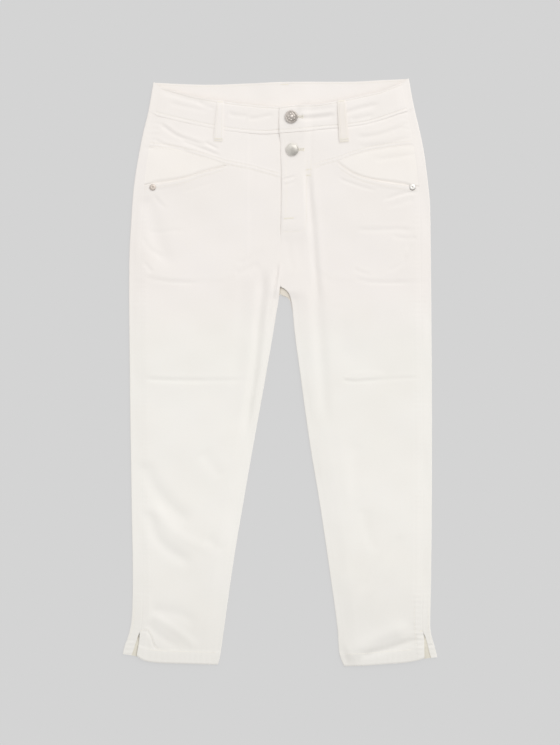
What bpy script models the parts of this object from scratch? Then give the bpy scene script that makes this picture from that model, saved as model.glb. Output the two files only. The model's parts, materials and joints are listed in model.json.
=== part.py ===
"""Capri trousers in white stretch twill, buttoned up and laid flat on their back, front side up.

Sizes are in millimetres and become metres as each mesh is made. x runs to the wearer's left, y from the hems
up to the waist and z up from the surface they lie on. The origin is the middle of the outline, on that
surface. Left and right are the wearer's. The back panels lie on the surface and turn up round both outer
edges, so that the side seams lie on the upper side. The front panels lie on them and meet them at the inner
leg edges.
"""

import math
from collections import namedtuple

import bmesh
import bpy
from mathutils import Vector

MM = 0.001

# Walls: the twill, the waistband and belt loops (folded twill), and the pocket cloth.
CLOTH = 1.2
BAND = 2.0
LOOP = 1.6
POCKET_CLOTH = 1.0
SEAM_GAP = 0.3
LAYER_GAP = 0.4

SIGN = {"right": -1, "left": 1}

# The outer edge of the garment lying flat.
Edge = namedtuple("Edge", "y right left")
OUTER_EDGE = (
    Edge(-427, -237.7, 235.7),
    Edge(-411, -234.7, 231.6),
    Edge(-399, -230.2, 228),
    Edge(-384, -225.9, 225.2),
    Edge(-370, -223.9, 224.9),
    Edge(-342, -222.3, 225.6),
    Edge(-192, -223.8, 227.2),
    Edge(-12, -226.3, 227.2),
    Edge(183, -226.8, 225.7),
    Edge(228, -224.3, 225.2),
    Edge(258, -222.3, 224.2),
    Edge(288, -219.3, 221.2),
    Edge(333, -211.8, 215.2),
    Edge(363, -205.8, 209.2),
    Edge(390, -199, 202.7),
    Edge(408, -195.7, 198.7),
    Edge(439, -190.5, 193.2),
)

# The inner leg edges. The back hangs lower than the front between the legs.
FRONT_CROTCH = 128.6
BACK_CROTCH = 117.4
LEG_INNER_EDGE = (
    Edge(-439, -94, 94.8),
    Edge(-426, -90.8, 89.5),
    Edge(-384, -84.8, 85.4),
    Edge(-282, -70.3, 71.5),
    Edge(-192, -55.3, 58.1),
    Edge(-102, -39.6, 43.2),
    Edge(-12, -23.4, 30.8),
    Edge(63, -10.5, 20.8),
    Edge(90, -6.2, 18.3),
)
FRONT_INNER_EDGE = LEG_INNER_EDGE + (
    Edge(103, -3.8, 16.8),
    Edge(111, -2.6, 15.2),
    Edge(118, -1.8, 13),
    Edge(123, -1.3, 9.4),
    Edge(127, -1, 4.6),
    Edge(FRONT_CROTCH, -0.6, 1.2),
)
BACK_INNER_EDGE = LEG_INNER_EDGE + (
    Edge(100, -5.5, 16),
    Edge(106, -4.2, 15),
    Edge(111, -3, 12.2),
    Edge(114.6, -2, 7.4),
    Edge(BACK_CROTCH, -0.6, 1.2),
)

# How far in from the outer edge the side seam lies, and the same for the two lips of the slit below it.
SIDE_SEAM_INSET = (
    Edge(-389, 16.1, 12),
    Edge(-342, 15.3, 12.6),
    Edge(-12, 17.3, 14.7),
    Edge(150, 17.3, 15.7),
    Edge(288, 15.8, 14.7),
    Edge(340, 13.8, 13.7),
    Edge(439, 11, 11.5),
)
SLIT_TOP = -389
SLIT_BACK_LIP_INSET = (
    Edge(-427, 12.4, 10),
    Edge(-413, 15.6, 10.2),
    Edge(-404, 15.2, 9.7),
    Edge(-395, 15, 10.2),
    Edge(SLIT_TOP, 16, 12),
)
SLIT_FRONT_LIP = (
    Edge(-439, -216.5, 216.3),
    Edge(-422, -215.4, 216),
    Edge(-413, -214, 215.8),
    Edge(-404, -212.4, 215.7),
    Edge(-395, -211.5, 215.3),
    Edge(SLIT_TOP, -211.1, 213.9),
)

# Height of the upper side above the surface: two walls and the air between them.
LOFT = ((-439, 4.6), (-384, 5.0), (-12, 5.2), (130, 5.4), (300, 5.7), (390, 6.2), (439, 6.2))
BAND_LOFT = 6.9

# The seams and edges that run across: how high each lies at that distance from the middle. Past the middle,
# below 0, the right side runs on under the left one.
Across = namedtuple("Across", "from_middle right left")
WAIST_EDGE_FRONT = (
    Across(0, 399.1, 399),
    Across(20, 399.9, 401.5),
    Across(55, 403.2, 402.7),
    Across(90, 407.6, 408.7),
    Across(130, 414.7, 417.5),
    Across(150, 419.8, 421.8),
    Across(170, 425.8, 430.2),
    Across(193, 433, 439),
)
WAIST_SEAM_FRONT = (
    Across(-40, 364, 357),
    Across(-5, 362.5, 359.5),
    Across(2, 360.1, 360),
    Across(12, 358.8, 360.7),
    Across(30, 358.6, 362),
    Across(60, 361, 365),
    Across(90, 364.9, 367.6),
    Across(125, 371.6, 372.2),
    Across(155, 378.3, 380.4),
    Across(180, 384.5, 389.2),
    Across(202, 391.6, 395.9),
)
WAIST_EDGE_BACK = (
    Across(0, 437, 436.8),
    Across(45, 434.9, 437.4),
    Across(112, 432.8, 437.6),
    Across(150, 434, 439.6),
    Across(193, 436, 441.5),
)
WAIST_SEAM_BACK = (
    Across(0, 392.5, 392.5),
    Across(200, 391, 396.5),
)
YOKE_SEAM = (
    Across(0, 292, 288),
    Across(20, 297.4, 294.6),
    Across(42, 303.7, 303),
    Across(64, 308.3, 311),
    Across(84, 312.4, 316.5),
    Across(105, 319.4, 324),
    Across(127, 326.1, 331),
    Across(157, 333.5, 336.5),
    Across(180, 337.1, 339.5),
    Across(200, 339.5, 341),
)
POCKET_MOUTH = (
    Across(84, 310.5, 316.6),
    Across(95, 307.5, 308.3),
    Across(108, 304, 300.5),
    Across(122, 300, 294.8),
    Across(140, 293.5, 290),
    Across(166, 287.5, 285.3),
    Across(192, 284, 281.6),
    Across(207, 281.5, 279.6),
)
MOUTH_TOP = {"right": -81, "left": 85.5}
HEM_FRONT = (
    Across(94, -438, -440.3),
    Across(130, -436.7, -439),
    Across(157, -436, -436.8),
    Across(186, -434.6, -434.7),
    Across(207, -430.5, -431),
    Across(216, -424.7, -428.2),
)
HEM_BACK = (
    Across(95, -435, -436),
    Across(200, -430, -431),
    Across(222, -424, -428),
    Across(236.5, -422, -426.5),
)

# The fly: the left side laps over the right side from its edge as far as the underlap reaches. It rises from
# the level of its foot to its full lift, and above that level the right side runs on beneath it.
RIGHT_RUN = 5
FLY_EDGE = (
    Edge(190, -0.15, 0.15),
    Edge(206, -0.15, 0.4),
    Edge(230, RIGHT_RUN, 0.8),
    Edge(288, RIGHT_RUN, 1.5),
    Edge(330, RIGHT_RUN, 0.5),
    Edge(358, RIGHT_RUN, -1.5),
    Edge(362, RIGHT_RUN, -2.8),
    Edge(400, RIGHT_RUN, -4),
)
FLY_FOOT = 178
FLY_FULL = 204
UNDERLAP_END = 33
UNDERLAP_LEVELS = (366, 330, 300, 270, 236)
UNDERLAP_COLUMNS = (12, 22, UNDERLAP_END)
LAP_EASE = 6

# The largest folds of the upper side, each along a line from one point to another. Half-width and rise.
Fold = namedtuple("Fold", "x0 y0 x1 y1 width rise")
FOLDS = (
    Fold(44, 285, 82, -130, 9, -0.8),
    Fold(26, 175, 60, -140, 9, 0.4),
    Fold(-18, 128, -38, -20, 6, -0.5),
    Fold(-205, -90, -135, -235, 14, -0.6),
    Fold(-175, -215, -100, -300, 14, 0.6),
    Fold(-180, -360, -115, -415, 10, 0.6),
    Fold(96, -420, 180, -335, 12, 0.7),
    Fold(120, -428, 200, -385, 7, -0.7),
    Fold(-200, -11, -40, -12, 5, -0.4),
    Fold(98, -6, 222, -8, 6, 0.4),
)
FOLD_FREE_EDGE = 18

# Pocket bags: how far they reach towards the middle and down, and under the yoke and side seams.
BAG_INNER = 46
BAG_FOOT = 138
BAG_CORNER = 45
BAG_UNDER_SEAM = 8
BAG_SIDE_ALLOWANCE = 3

# Belt loops, each from its upper end to its lower end. The back of the waistband rises over the back one
# between these distances from its edges.
Loop = namedtuple("Loop", "name x0 y0 x1 y1")
FRONT_LOOPS = (Loop("belt_loop_right", -90, 408, -93.4, 346), Loop("belt_loop_left", 91, 409, 95.7, 345.5))
LOOP_WIDTH = 15
LOOP_SLACK = 0.9
LOOP_ROWS = (0, 0.12, 0.3, 0.5, 0.66, 0.8, 0.9, 1)
BACK_LOOP_PRESS = (3, 16)
BACK_LOOP = Loop("belt_loop_back", 4, 435, 4, 394)

# Shank buttons and their buttonholes, and the rivets at the pocket mouths.
Button = namedtuple("Button", "name x y wall")
BUTTONS = (Button("button_waist", 16.2, 383.8, BAND), Button("button_yoke", 17.6, 335, CLOTH))
BUTTON_RADIUS = 9.6
BUTTON_RISE = 3.6
SHANK_RADIUS = 2.4
EYE_RADIUS = 3.1
HOLE_REACH = 17.5
SLIT_WIDTH = 1.0
RIVETS = (("rivet_right", -191.6, 278.4), ("rivet_left", 197.8, 278.6))
RIVET_RADIUS = 4.7

# The columns of a front, from its side seam to the middle: shares of the way across, then straight lines
# down the hip, which below it keep their share of the way across the leg, then degrees of the turn round the
# inner edge.
SHARES = (0, 0.05, 0.14, 0.24, 0.35, 0.46)
LINES = {
    "right": (MOUTH_TOP["right"], -58, -38, -20, -8),
    "left": (MOUTH_TOP["left"], 62, UNDERLAP_END + 1 + LAP_EASE, UNDERLAP_END + 1, 20, 9),
}
LINES_FOOT = 170
INNER_TURN = (30, 55, 75)
# The columns of a back, from its side seam: degrees of the turn round the outer edge, shares of the flat,
# and the same inner turn.
OUTER_TURN = (90, 60, 30, 0, -30, -60, -90)
FLAT_SHARES = (0.3, 0.65, 1)
# The rows of both, and of the yoke, the waistband and the pockets.
LEG_LEVELS = (63, 20, -30, -85, -140, -192, -237, -282, -320, -355, SLIT_TOP)
FRONT_LEVELS = (150, 140, 134, FRONT_CROTCH, 128, 124, 119, 111, 103, 92, *LEG_LEVELS)
BACK_LEVELS = (150, 135, 127, 124, BACK_CROTCH, 117, 112, 106, 100, 90, *LEG_LEVELS)
FAN = (0.2, 0.4, 0.6, 0.8, 0.92, 1)
HEM_FAN = (0.5, 1)
YOKE_ROWS = (0, 0.3, 0.65, 1)
BAND_ROWS = (0, 0.5, 1)
BACK_BAND_COLUMNS = (-150, -95, -45, -20, -12, -6.5, 14.5, 20, 28, 45, 95, 150)
POCKET_ROWS = (0, 0.2, 0.4, 0.6, 0.8, 0.93, 1)
POCKET_COLUMNS = (0, 0.09, 0.22, 0.36, 0.5, 0.65, 0.8, 0.92, 1)


def curve(points, at):
    """The height of a smooth curve through the points, carried straight on past its ends."""
    points = sorted(points)
    slopes = [(b[1] - a[1]) / (b[0] - a[0]) for a, b in zip(points, points[1:])]
    if at <= points[0][0]:
        return points[0][1] + slopes[0] * (at - points[0][0])
    if at >= points[-1][0]:
        return points[-1][1] + slopes[-1] * (at - points[-1][0])
    tangents = [slopes[0]] + [(a + b) / 2 for a, b in zip(slopes, slopes[1:])] + [slopes[-1]]
    i = max(k for k in range(len(points) - 1) if points[k][0] <= at)
    span = points[i + 1][0] - points[i][0]
    t = (at - points[i][0]) / span
    return (
        points[i][1] * (1 + 2 * t) * (1 - t) ** 2
        + points[i + 1][1] * t * t * (3 - 2 * t)
        + span * (tangents[i] * t * (1 - t) ** 2 - tangents[i + 1] * t * t * (1 - t))
    )


def column(table, side):
    """One side's column of a table of edges, as pairs of y and x."""
    return [(row.y, getattr(row, side)) for row in table]


def crossing_y(table, side, x):
    """The height at x of a seam or edge that runs across."""
    return curve([(row.from_middle, getattr(row, side)) for row in table], x * SIGN[side])


def ease(low, high, value):
    """0 up to low, 1 from high on, and smooth between them."""
    t = min(1, max(0, (value - low) / (high - low)))
    return t * t * (3 - 2 * t)


def outer_x(side, y):
    return curve(column(OUTER_EDGE, side), y)


def side_seam_x(side, y):
    return outer_x(side, y) - SIGN[side] * curve(column(SIDE_SEAM_INSET, side), y)


def back_lip_x(side, y):
    """The edge of a back panel on the upper side: along the side seam, then along the slit."""
    if y >= SLIT_TOP:
        return side_seam_x(side, y) + SIGN[side] * SEAM_GAP / 2
    return outer_x(side, y) - SIGN[side] * curve(column(SLIT_BACK_LIP_INSET, side), y)


def front_lip_x(side, y):
    """The outer edge of a front panel: along the side seam, then along the slit."""
    if y >= SLIT_TOP:
        return side_seam_x(side, y) - SIGN[side] * SEAM_GAP / 2
    return curve(column(SLIT_FRONT_LIP, side), y)


def middle_edge_x(side, y):
    """Where a front ends above the crotch: at the fly edge, or under the lap."""
    return min(RIGHT_RUN, curve(column(FLY_EDGE, side), max(y, FLY_EDGE[0].y)))


def inner_end_x(side, y, table, crotch):
    if y <= crotch:
        return curve(column(table, side), y)
    if table is BACK_INNER_EDGE:
        return SIGN[side] * SEAM_GAP / 2
    return middle_edge_x(side, y)


def front_end_x(side, y):
    return inner_end_x(side, y, FRONT_INNER_EDGE, FRONT_CROTCH)


def back_end_x(side, y):
    return inner_end_x(side, y, BACK_INNER_EDGE, BACK_CROTCH)


def closing(y, crotch):
    """1 where the two layers meet at the inner leg edge, 0 above the crotch, where they lie apart."""
    return 1 - ease(crotch, crotch + 4, y)


def folds(x, y):
    """The rise of the folds at a place, less towards the garment's edges."""
    total = 0
    for fold in FOLDS:
        along = Vector((fold.x1 - fold.x0, fold.y1 - fold.y0))
        from_start = Vector((x - fold.x0, y - fold.y0))
        t = from_start.dot(along) / along.length_squared
        off = abs(along.normalized().cross(from_start))
        ends = ease(-0.1, 0.2, t) * (1 - ease(0.8, 1.1, t))
        total += fold.rise * ends * math.exp(-((off / fold.width) ** 2))
    side = "left" if x > 0 else "right"
    from_edge = abs(outer_x(side, y) - x)
    if y < FRONT_CROTCH:
        from_edge = min(from_edge, abs(x - front_end_x(side, y)))
    return total * ease(3, FOLD_FREE_EDGE, from_edge)


def upper_z(x, y):
    """The upper side of the cloth, before anything laps over it."""
    return curve(LOFT, y) + folds(x, y)


def lap(x, y, wall):
    """How far the left side is lifted by the wall that it laps over."""
    across = 1 - min(1, max(0, (x - UNDERLAP_END - 1) / LAP_EASE))
    return (wall + LAYER_GAP) * across * ease(FLY_FOOT, FLY_FULL, y)


def meet(x_at, table, side):
    """The height at which a column that leans with y crosses a seam or edge."""
    y = getattr(table[0], side)
    for _ in range(12):
        y = crossing_y(table, side, x_at(y))
    return y


def front_x(side, station, y):
    """x of a front's column at that height."""
    kind, value = station
    start = front_lip_x(side, y)
    end = front_end_x(side, y)
    turn_start = end + SIGN[side] * curve(LOFT, y) / 2
    if kind == "share":
        return start + value * (turn_start - start)
    if kind == "turn":
        turn = math.sin(math.radians(value)) / math.sin(math.radians(INNER_TURN[-1]))
        return turn_start + turn * (end - turn_start)
    if y >= LINES_FOOT:
        return value
    top_start = front_lip_x(side, LINES_FOOT)
    top_end = front_end_x(side, LINES_FOOT) + SIGN[side] * curve(LOFT, LINES_FOOT) / 2
    return start + (value - top_start) / (top_end - top_start) * (turn_start - start)


def front_z(side, station, x, y):
    kind, value = station
    z = upper_z(x, y) + (lap(x, y, CLOTH) if side == "left" else 0)
    if kind == "turn":
        z -= closing(y, FRONT_CROTCH) * curve(LOFT, y) / 2 * (1 - math.cos(math.radians(value)))
    return z


def front_stations(side):
    return (
        [("share", share) for share in SHARES]
        + [("line", x) for x in LINES[side]]
        + [("share", 1)]
        + [("turn", angle) for angle in INNER_TURN]
    )


def front_crossing(side, station, table):
    """The height at which a front's column crosses a seam or edge."""
    return meet(lambda y: front_x(side, station, y), table, side)


def material(name, colour, roughness, metallic=0.0):
    made = bpy.data.materials.new(name)
    made.use_nodes = True
    shader = made.node_tree.nodes["Principled BSDF"]
    shader.inputs["Base Color"].default_value = (*colour, 1)
    shader.inputs["Roughness"].default_value = roughness
    shader.inputs["Metallic"].default_value = metallic
    return made


def new_object(name, mesh, finish):
    made = bpy.data.objects.new(name, mesh)
    bpy.context.scene.collection.objects.link(made)
    mesh.materials.append(finish)
    return made


def sheet(name, rows, wall, finish, faces_up=True):
    """A cloth wall under a grid of points: each row holds its points from one edge to the other."""
    across, along = len(rows[0]), len(rows)
    grid = bmesh.new()
    bmesh.ops.create_grid(grid, x_segments=across - 1, y_segments=along - 1, size=0.5)
    grid.verts.ensure_lookup_table()
    order = sorted(grid.verts, key=lambda v: (round(v.co.y, 4), round(v.co.x, 4)))
    for vert, point in zip(order, (p for row in rows for p in row)):
        vert.co = Vector(point) * MM
    grid.normal_update()
    facing = sum(face.normal.z * face.calc_area() for face in grid.faces)
    if (facing > 0) != faces_up:
        bmesh.ops.reverse_faces(grid, faces=grid.faces)
    mesh = bpy.data.meshes.new(name)
    grid.to_mesh(mesh)
    grid.free()
    made = new_object(name, mesh, finish)
    made.data.shade_smooth()
    thicken = made.modifiers.new("wall", "SOLIDIFY")
    thicken.thickness = wall * MM
    thicken.offset = -1
    thicken.use_even_offset = True
    return made


def front_levels(side):
    """The height of each row of a front at each column, from the yoke seam and pocket mouth to the hem."""
    tops, hems = [], []
    for station in front_stations(side):
        below_mouth = station in [("share", share) for share in SHARES] or station[1] == MOUTH_TOP[side]
        tops.append(front_crossing(side, station, POCKET_MOUTH if below_mouth else YOKE_SEAM) - SEAM_GAP)
        hems.append(front_crossing(side, station, HEM_FRONT))
    rows = [[FRONT_LEVELS[0] + fan * (y - FRONT_LEVELS[0]) for y in tops] for fan in reversed(FAN)]
    rows += [[level] * len(tops) for level in FRONT_LEVELS]
    rows += [[SLIT_TOP + fan * (y - SLIT_TOP) for y in hems] for fan in HEM_FAN]
    return rows


def yoke_levels(side):
    """The height of each row of a yoke at each column, from its foot up."""
    rows = []
    for share in YOKE_ROWS:
        row = []
        for station in front_stations(side):
            low = front_crossing(side, station, YOKE_SEAM)
            high = front_crossing(side, station, WAIST_SEAM_FRONT) - SEAM_GAP
            row.append(low + share * (high - low))
        rows.append(row)
    return rows


def front_sheet(name, side, rows, finish):
    points = []
    for row in rows:
        placed = [(station, front_x(side, station, y), y) for station, y in zip(front_stations(side), row)]
        points.append([(x, y, front_z(side, station, x, y)) for station, x, y in placed])
    return sheet(name, points, CLOTH, finish)


def front_panel(side, finish):
    """One leg's front, from the pocket mouth and the yoke seam down to the hem."""
    return front_sheet(f"front_{side}", side, front_levels(side), finish)


def yoke(side, finish):
    """The shaped piece between the waistband and the front panel, deepest at the middle."""
    return front_sheet(f"yoke_{side}", side, yoke_levels(side), finish)


def band_end(side, share, gap):
    """The point of a waistband piece on the side seam, that far to one side of it."""
    low = meet(lambda y: side_seam_x(side, y), WAIST_SEAM_FRONT, side)
    high = meet(lambda y: side_seam_x(side, y), WAIST_EDGE_FRONT, side)
    y = low + share * (high - low)
    return side_seam_x(side, y) + SIGN[side] * gap, y


def band_front(side, finish):
    """One side's front of the waistband, above its yoke. The right one runs on under the left one."""
    stations = front_stations(side)[1:]
    xs = [front_x(side, station, front_crossing(side, station, WAIST_SEAM_FRONT)) for station in stations]
    if side == "right":
        xs += UNDERLAP_COLUMNS
    points = []
    for share in BAND_ROWS:
        row = [(*band_end(side, share, -SEAM_GAP / 2), BAND_LOFT)]
        for x in xs:
            low, high = (crossing_y(table, side, x) for table in (WAIST_SEAM_FRONT, WAIST_EDGE_FRONT))
            y = low + share * (high - low)
            row.append((x, y, BAND_LOFT + (lap(x, y, BAND) if side == "left" else 0)))
        points.append(row)
    return sheet(f"waistband_front_{side}", points, BAND, finish)


def outer_fold(side, y, height):
    """Points (x, z) round the outer fold, from the upper side to the surface."""
    radius = height / 2
    centre = outer_x(side, y) - SIGN[side] * radius
    turns = [math.radians(angle) for angle in OUTER_TURN]
    return [(centre + SIGN[side] * radius * math.cos(a), radius + radius * math.sin(a)) for a in turns]


def back_point(side, index, y):
    """The point of a back panel at that height, in that column counted from the side seam."""
    height = curve(LOFT, y)
    fold = outer_fold(side, y, height)
    if index == 0:
        return back_lip_x(side, y), y, height
    if index == 1:
        return (back_lip_x(side, y) + fold[0][0]) / 2, y, height
    if index < 2 + len(fold):
        x, z = fold[index - 2]
        return x, y, z
    end = back_end_x(side, y)
    flat_end = end + SIGN[side] * height / 2
    index -= 2 + len(fold)
    if index < len(FLAT_SHARES):
        return fold[-1][0] + FLAT_SHARES[index] * (flat_end - fold[-1][0]), y, 0
    angle = math.radians(INNER_TURN[index - len(FLAT_SHARES)])
    rise = closing(y, BACK_CROTCH) * height / 2 * (1 - math.cos(angle))
    turn = math.sin(angle) / math.sin(math.radians(INNER_TURN[-1]))
    return flat_end + turn * (end - flat_end), y, rise


def back_panel(side, finish):
    """One leg's back: flat on the surface, turned up round the outer edge as far as the side seam."""
    count = 2 + len(OUTER_TURN) + len(FLAT_SHARES) + len(INNER_TURN)
    tops, hems = [], []
    for i in range(count):
        seam = WAIST_SEAM_FRONT if i < 2 else WAIST_SEAM_BACK
        tops.append(meet(lambda y, i=i: back_point(side, i, y)[0], seam, side) - SEAM_GAP)
        hems.append(meet(lambda y, i=i: back_point(side, i, y)[0], HEM_BACK, side))
    # Down to the hip its rows leave the side seam at the rows of the pieces sewn to it.
    yoke_rows = [row[0] for row in yoke_levels(side)[-2::-1]]
    front_rows = [row[0] for row in front_levels(side)[:len(FAN)]]
    levels = [[level] * count for level in (*yoke_rows, *front_rows, *BACK_LEVELS)]
    levels += [[SLIT_TOP + fan * (y - SLIT_TOP) for y in hems] for fan in HEM_FAN]
    points = [[back_point(side, i, y) for i, y in enumerate(row)] for row in [tops] + levels]
    return sheet(f"back_{side}", points, CLOTH, finish, faces_up=False)


def band_back(finish):
    """The back of the waistband, which turns up round both ends to the side seams."""
    points = []
    for share in BAND_ROWS:
        row = []
        for x in BACK_BAND_COLUMNS:
            side = "left" if x > 0 else "right"
            low, high = (crossing_y(table, side, x) for table in (WAIST_SEAM_BACK, WAIST_EDGE_BACK))
            from_loop = abs(x - BACK_LOOP.x0) - LOOP_WIDTH / 2
            rise = (LOOP + LAYER_GAP) * (1 - ease(*BACK_LOOP_PRESS, from_loop))
            row.append((x, low + share * (high - low), rise))
        for side in ("right", "left"):
            lip_x, lip_y = band_end(side, share, SEAM_GAP / 2)
            edge_x = outer_x(side, lip_y)
            low, high = (crossing_y(table, side, edge_x) for table in (WAIST_SEAM_BACK, WAIST_EDGE_BACK))
            y = low + share * (high - low)
            fold = outer_fold(side, y, BAND_LOFT)
            end = [(lip_x, lip_y, BAND_LOFT), ((lip_x + fold[0][0]) / 2, (lip_y + y) / 2, BAND_LOFT)]
            end += [(x, y, z) for x, z in fold]
            row = end + row if side == "right" else row + end[::-1]
        points.append(row)
    return sheet("waistband_back", points, BAND, finish, faces_up=False)


def pocket(side, finish):
    """The inner wall of a front pocket: it shows above the mouth and hangs behind the front below it."""
    depth = CLOTH + LAYER_GAP
    foot = []
    for angle in (0, 30, 60, 90):
        a = math.radians(angle)
        x, y = BAG_INNER + BAG_CORNER * (1 - math.cos(a)), BAG_FOOT + BAG_CORNER * (1 - math.sin(a))
        foot.append(Across(x, y, y))
    foot.append(Across(BAG_INNER + 4 * BAG_CORNER, BAG_FOOT, BAG_FOOT))
    points = []
    for share in POCKET_ROWS:
        row = []
        for along in POCKET_COLUMNS:
            def x_at(y, along=along):
                start = side_seam_x(side, y) + SIGN[side] * BAG_SIDE_ALLOWANCE
                return start + along * (SIGN[side] * BAG_INNER - start)

            low = meet(x_at, foot, side)
            high = meet(x_at, YOKE_SEAM, side) + BAG_UNDER_SEAM
            y = low + share * (high - low)
            x = x_at(y)
            row.append((x, y, upper_z(x, y) - depth))
        points.append(row)
    return sheet(f"pocket_{side}", points, POCKET_CLOTH, finish)


def fly_underlap(finish):
    """The strip sewn to the right side behind the fly. The lower button is set in it."""
    points = []
    for y in UNDERLAP_LEVELS:
        start = middle_edge_x("right", y) + SEAM_GAP
        xs = (start, *UNDERLAP_COLUMNS)
        top = [crossing_y(WAIST_SEAM_FRONT, "right", x) - SEAM_GAP for x in xs]
        points.append([(x, min(y, highest), upper_z(x, y)) for x, highest in zip(xs, top)])
    return sheet("fly_underlap", points, CLOTH, finish)


def front_loop(loop, finish):
    """A belt loop: a folded strip over the waistband, sewn down above and below it."""
    points = []
    axis = Vector((loop.x1 - loop.x0, loop.y1 - loop.y0))
    across = Vector((-axis.y, axis.x)).normalized() * LOOP_WIDTH / 2
    side = "left" if loop.x0 > 0 else "right"
    seam = crossing_y(WAIST_SEAM_FRONT, side, loop.x0)
    for share in LOOP_ROWS:
        middle = Vector((loop.x0, loop.y0)) + axis * share
        cover = 1 - ease(seam - 12, seam - 2, middle.y)
        ground = BAND_LOFT + (upper_z(middle.x, middle.y) - BAND_LOFT) * cover
        z = ground + LAYER_GAP + LOOP + LOOP_SLACK * math.sin(math.pi * share)
        points.append([(p.x, p.y, z) for p in (middle - across, middle, middle + across)])
    return sheet(loop.name, points, LOOP, finish)


def back_loop(finish):
    """The belt loop at the middle of the back, pressed between the waistband and the surface."""
    points = []
    for share in (0, 0.25, 0.5, 0.75, 1):
        y = BACK_LOOP.y0 + share * (BACK_LOOP.y1 - BACK_LOOP.y0)
        half = LOOP_WIDTH / 2
        points.append([(BACK_LOOP.x0 + x, y, 0) for x in (-half, 0, half)])
    return sheet(BACK_LOOP.name, points, LOOP, finish, faces_up=False)


def turned(name, profile, place, steps, finish):
    """A round piece from its profile, a list of (radius, height) from the top of the axis to its foot."""
    shape = bmesh.new()
    verts = [shape.verts.new((r * MM, 0, z * MM)) for r, z in profile]
    edges = [shape.edges.new(pair) for pair in zip(verts, verts[1:])]
    axis = (0, 0, 1)
    bmesh.ops.spin(shape, geom=verts + edges, axis=axis, angle=math.tau, steps=steps, use_merge=True)
    bmesh.ops.remove_doubles(shape, verts=shape.verts, dist=1e-6)
    bmesh.ops.recalc_face_normals(shape, faces=shape.faces)
    mesh = bpy.data.meshes.new(name)
    shape.to_mesh(mesh)
    shape.free()
    made = new_object(name, mesh, finish)
    made.location = Vector(place) * MM
    made.data.shade_smooth()
    made.data.set_sharp_from_angle(angle=math.radians(40))
    return made


def button_ground(spec):
    """The height of the wall that a button is set in: the right waistband, or the underlap."""
    return BAND_LOFT if spec.wall == BAND else upper_z(spec.x, spec.y)


def button(spec, finish):
    """A shank button: its shank stands on the underlap and comes up through the buttonhole."""
    foot = button_ground(spec) + SEAM_GAP
    rim = LAYER_GAP + spec.wall
    top = rim + BUTTON_RISE
    r = BUTTON_RADIUS
    crown = [(0, top), (r * 0.42, top - 0.15), (r * 0.74, top - 0.7), (r * 0.94, top - 1.6)]
    skirt = [(r, rim + 1.2), (r * 0.97, rim + 0.4), (r * 0.88, rim)]
    profile = crown + skirt + [(SHANK_RADIUS, rim), (SHANK_RADIUS, 0), (0, 0)]
    return turned(spec.name, profile, (spec.x, spec.y, foot), 24, finish)


def rivet(name, x, y, finish):
    r = RIVET_RADIUS
    point = [(0, 1.7), (r * 0.2, 1.6), (r * 0.34, 1.0)]
    profile = point + [(r * 0.72, 1.1), (r * 0.93, 0.8), (r, 0.2), (r * 0.96, 0), (0, 0)]
    return turned(name, profile, (x, y, upper_z(x, y) + SEAM_GAP), 16, finish)


def buttonhole(cloth, spec):
    """Cuts a keyhole: an eye round the shank and a slit away from the edge of the lap."""
    low, high = button_ground(spec) - 1, button_ground(spec) + 6
    cutters = []
    eye = bmesh.new()
    r = EYE_RADIUS * MM
    bmesh.ops.create_cone(eye, cap_ends=True, segments=16, radius1=r, radius2=r, depth=(high - low) * MM)
    cutters.append(("eye", eye, (spec.x, spec.y, (low + high) / 2)))
    slit = bmesh.new()
    bmesh.ops.create_cube(slit, size=1)
    bmesh.ops.scale(slit, vec=(HOLE_REACH * MM, SLIT_WIDTH * MM, (high - low - 0.4) * MM), verts=slit.verts)
    cutters.append(("slit", slit, (spec.x + HOLE_REACH / 2, spec.y, (low + high) / 2)))
    for label, shape, place in cutters:
        mesh = bpy.data.meshes.new(f"{spec.name}_{label}")
        shape.to_mesh(mesh)
        shape.free()
        cutter = bpy.data.objects.new(f"{spec.name}_{label}_cutter", mesh)
        bpy.context.scene.collection.objects.link(cutter)
        cutter.location = Vector(place) * MM
        cutter.hide_render = True
        cutter.display_type = "WIRE"
        cut = cloth.modifiers.new(f"{spec.name}_{label}", "BOOLEAN")
        cut.operation = "DIFFERENCE"
        cut.object = cutter


def main():
    for old in list(bpy.data.objects):
        bpy.data.objects.remove(old)
    twill = material("ecru_twill", (0.86, 0.84, 0.79), 0.9)
    pocketing = material("ecru_pocket_cloth", (0.85, 0.83, 0.77), 0.9)
    metal = material("brushed_nickel", (0.62, 0.6, 0.57), 0.35, 1.0)
    bands, yokes = {}, {}
    for side in ("right", "left"):
        front_panel(side, twill)
        back_panel(side, twill)
        pocket(side, pocketing)
        yokes[side] = yoke(side, twill)
        bands[side] = band_front(side, twill)
    band_back(twill)
    fly_underlap(twill)
    for loop in FRONT_LOOPS:
        front_loop(loop, twill)
    back_loop(twill)
    buttonhole(bands["left"], BUTTONS[0])
    buttonhole(yokes["left"], BUTTONS[1])
    for spec in BUTTONS:
        button(spec, metal)
    for name, x, y in RIVETS:
        rivet(name, x, y, metal)


main()
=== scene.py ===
# %% [markdown]
# # Capri trousers in ecru stretch twill, laid flat
# The trousers lie on their back, buttoned up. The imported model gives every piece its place, and this script
# gives every piece its cloth: a thin shell over the same form, with the creases, seams, stitches and metal
# trim that the plain solids leave out. Lengths are in millimetres until a mesh is made, x runs to the
# wearer's left, y up to the waist, and z up from the table.

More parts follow.
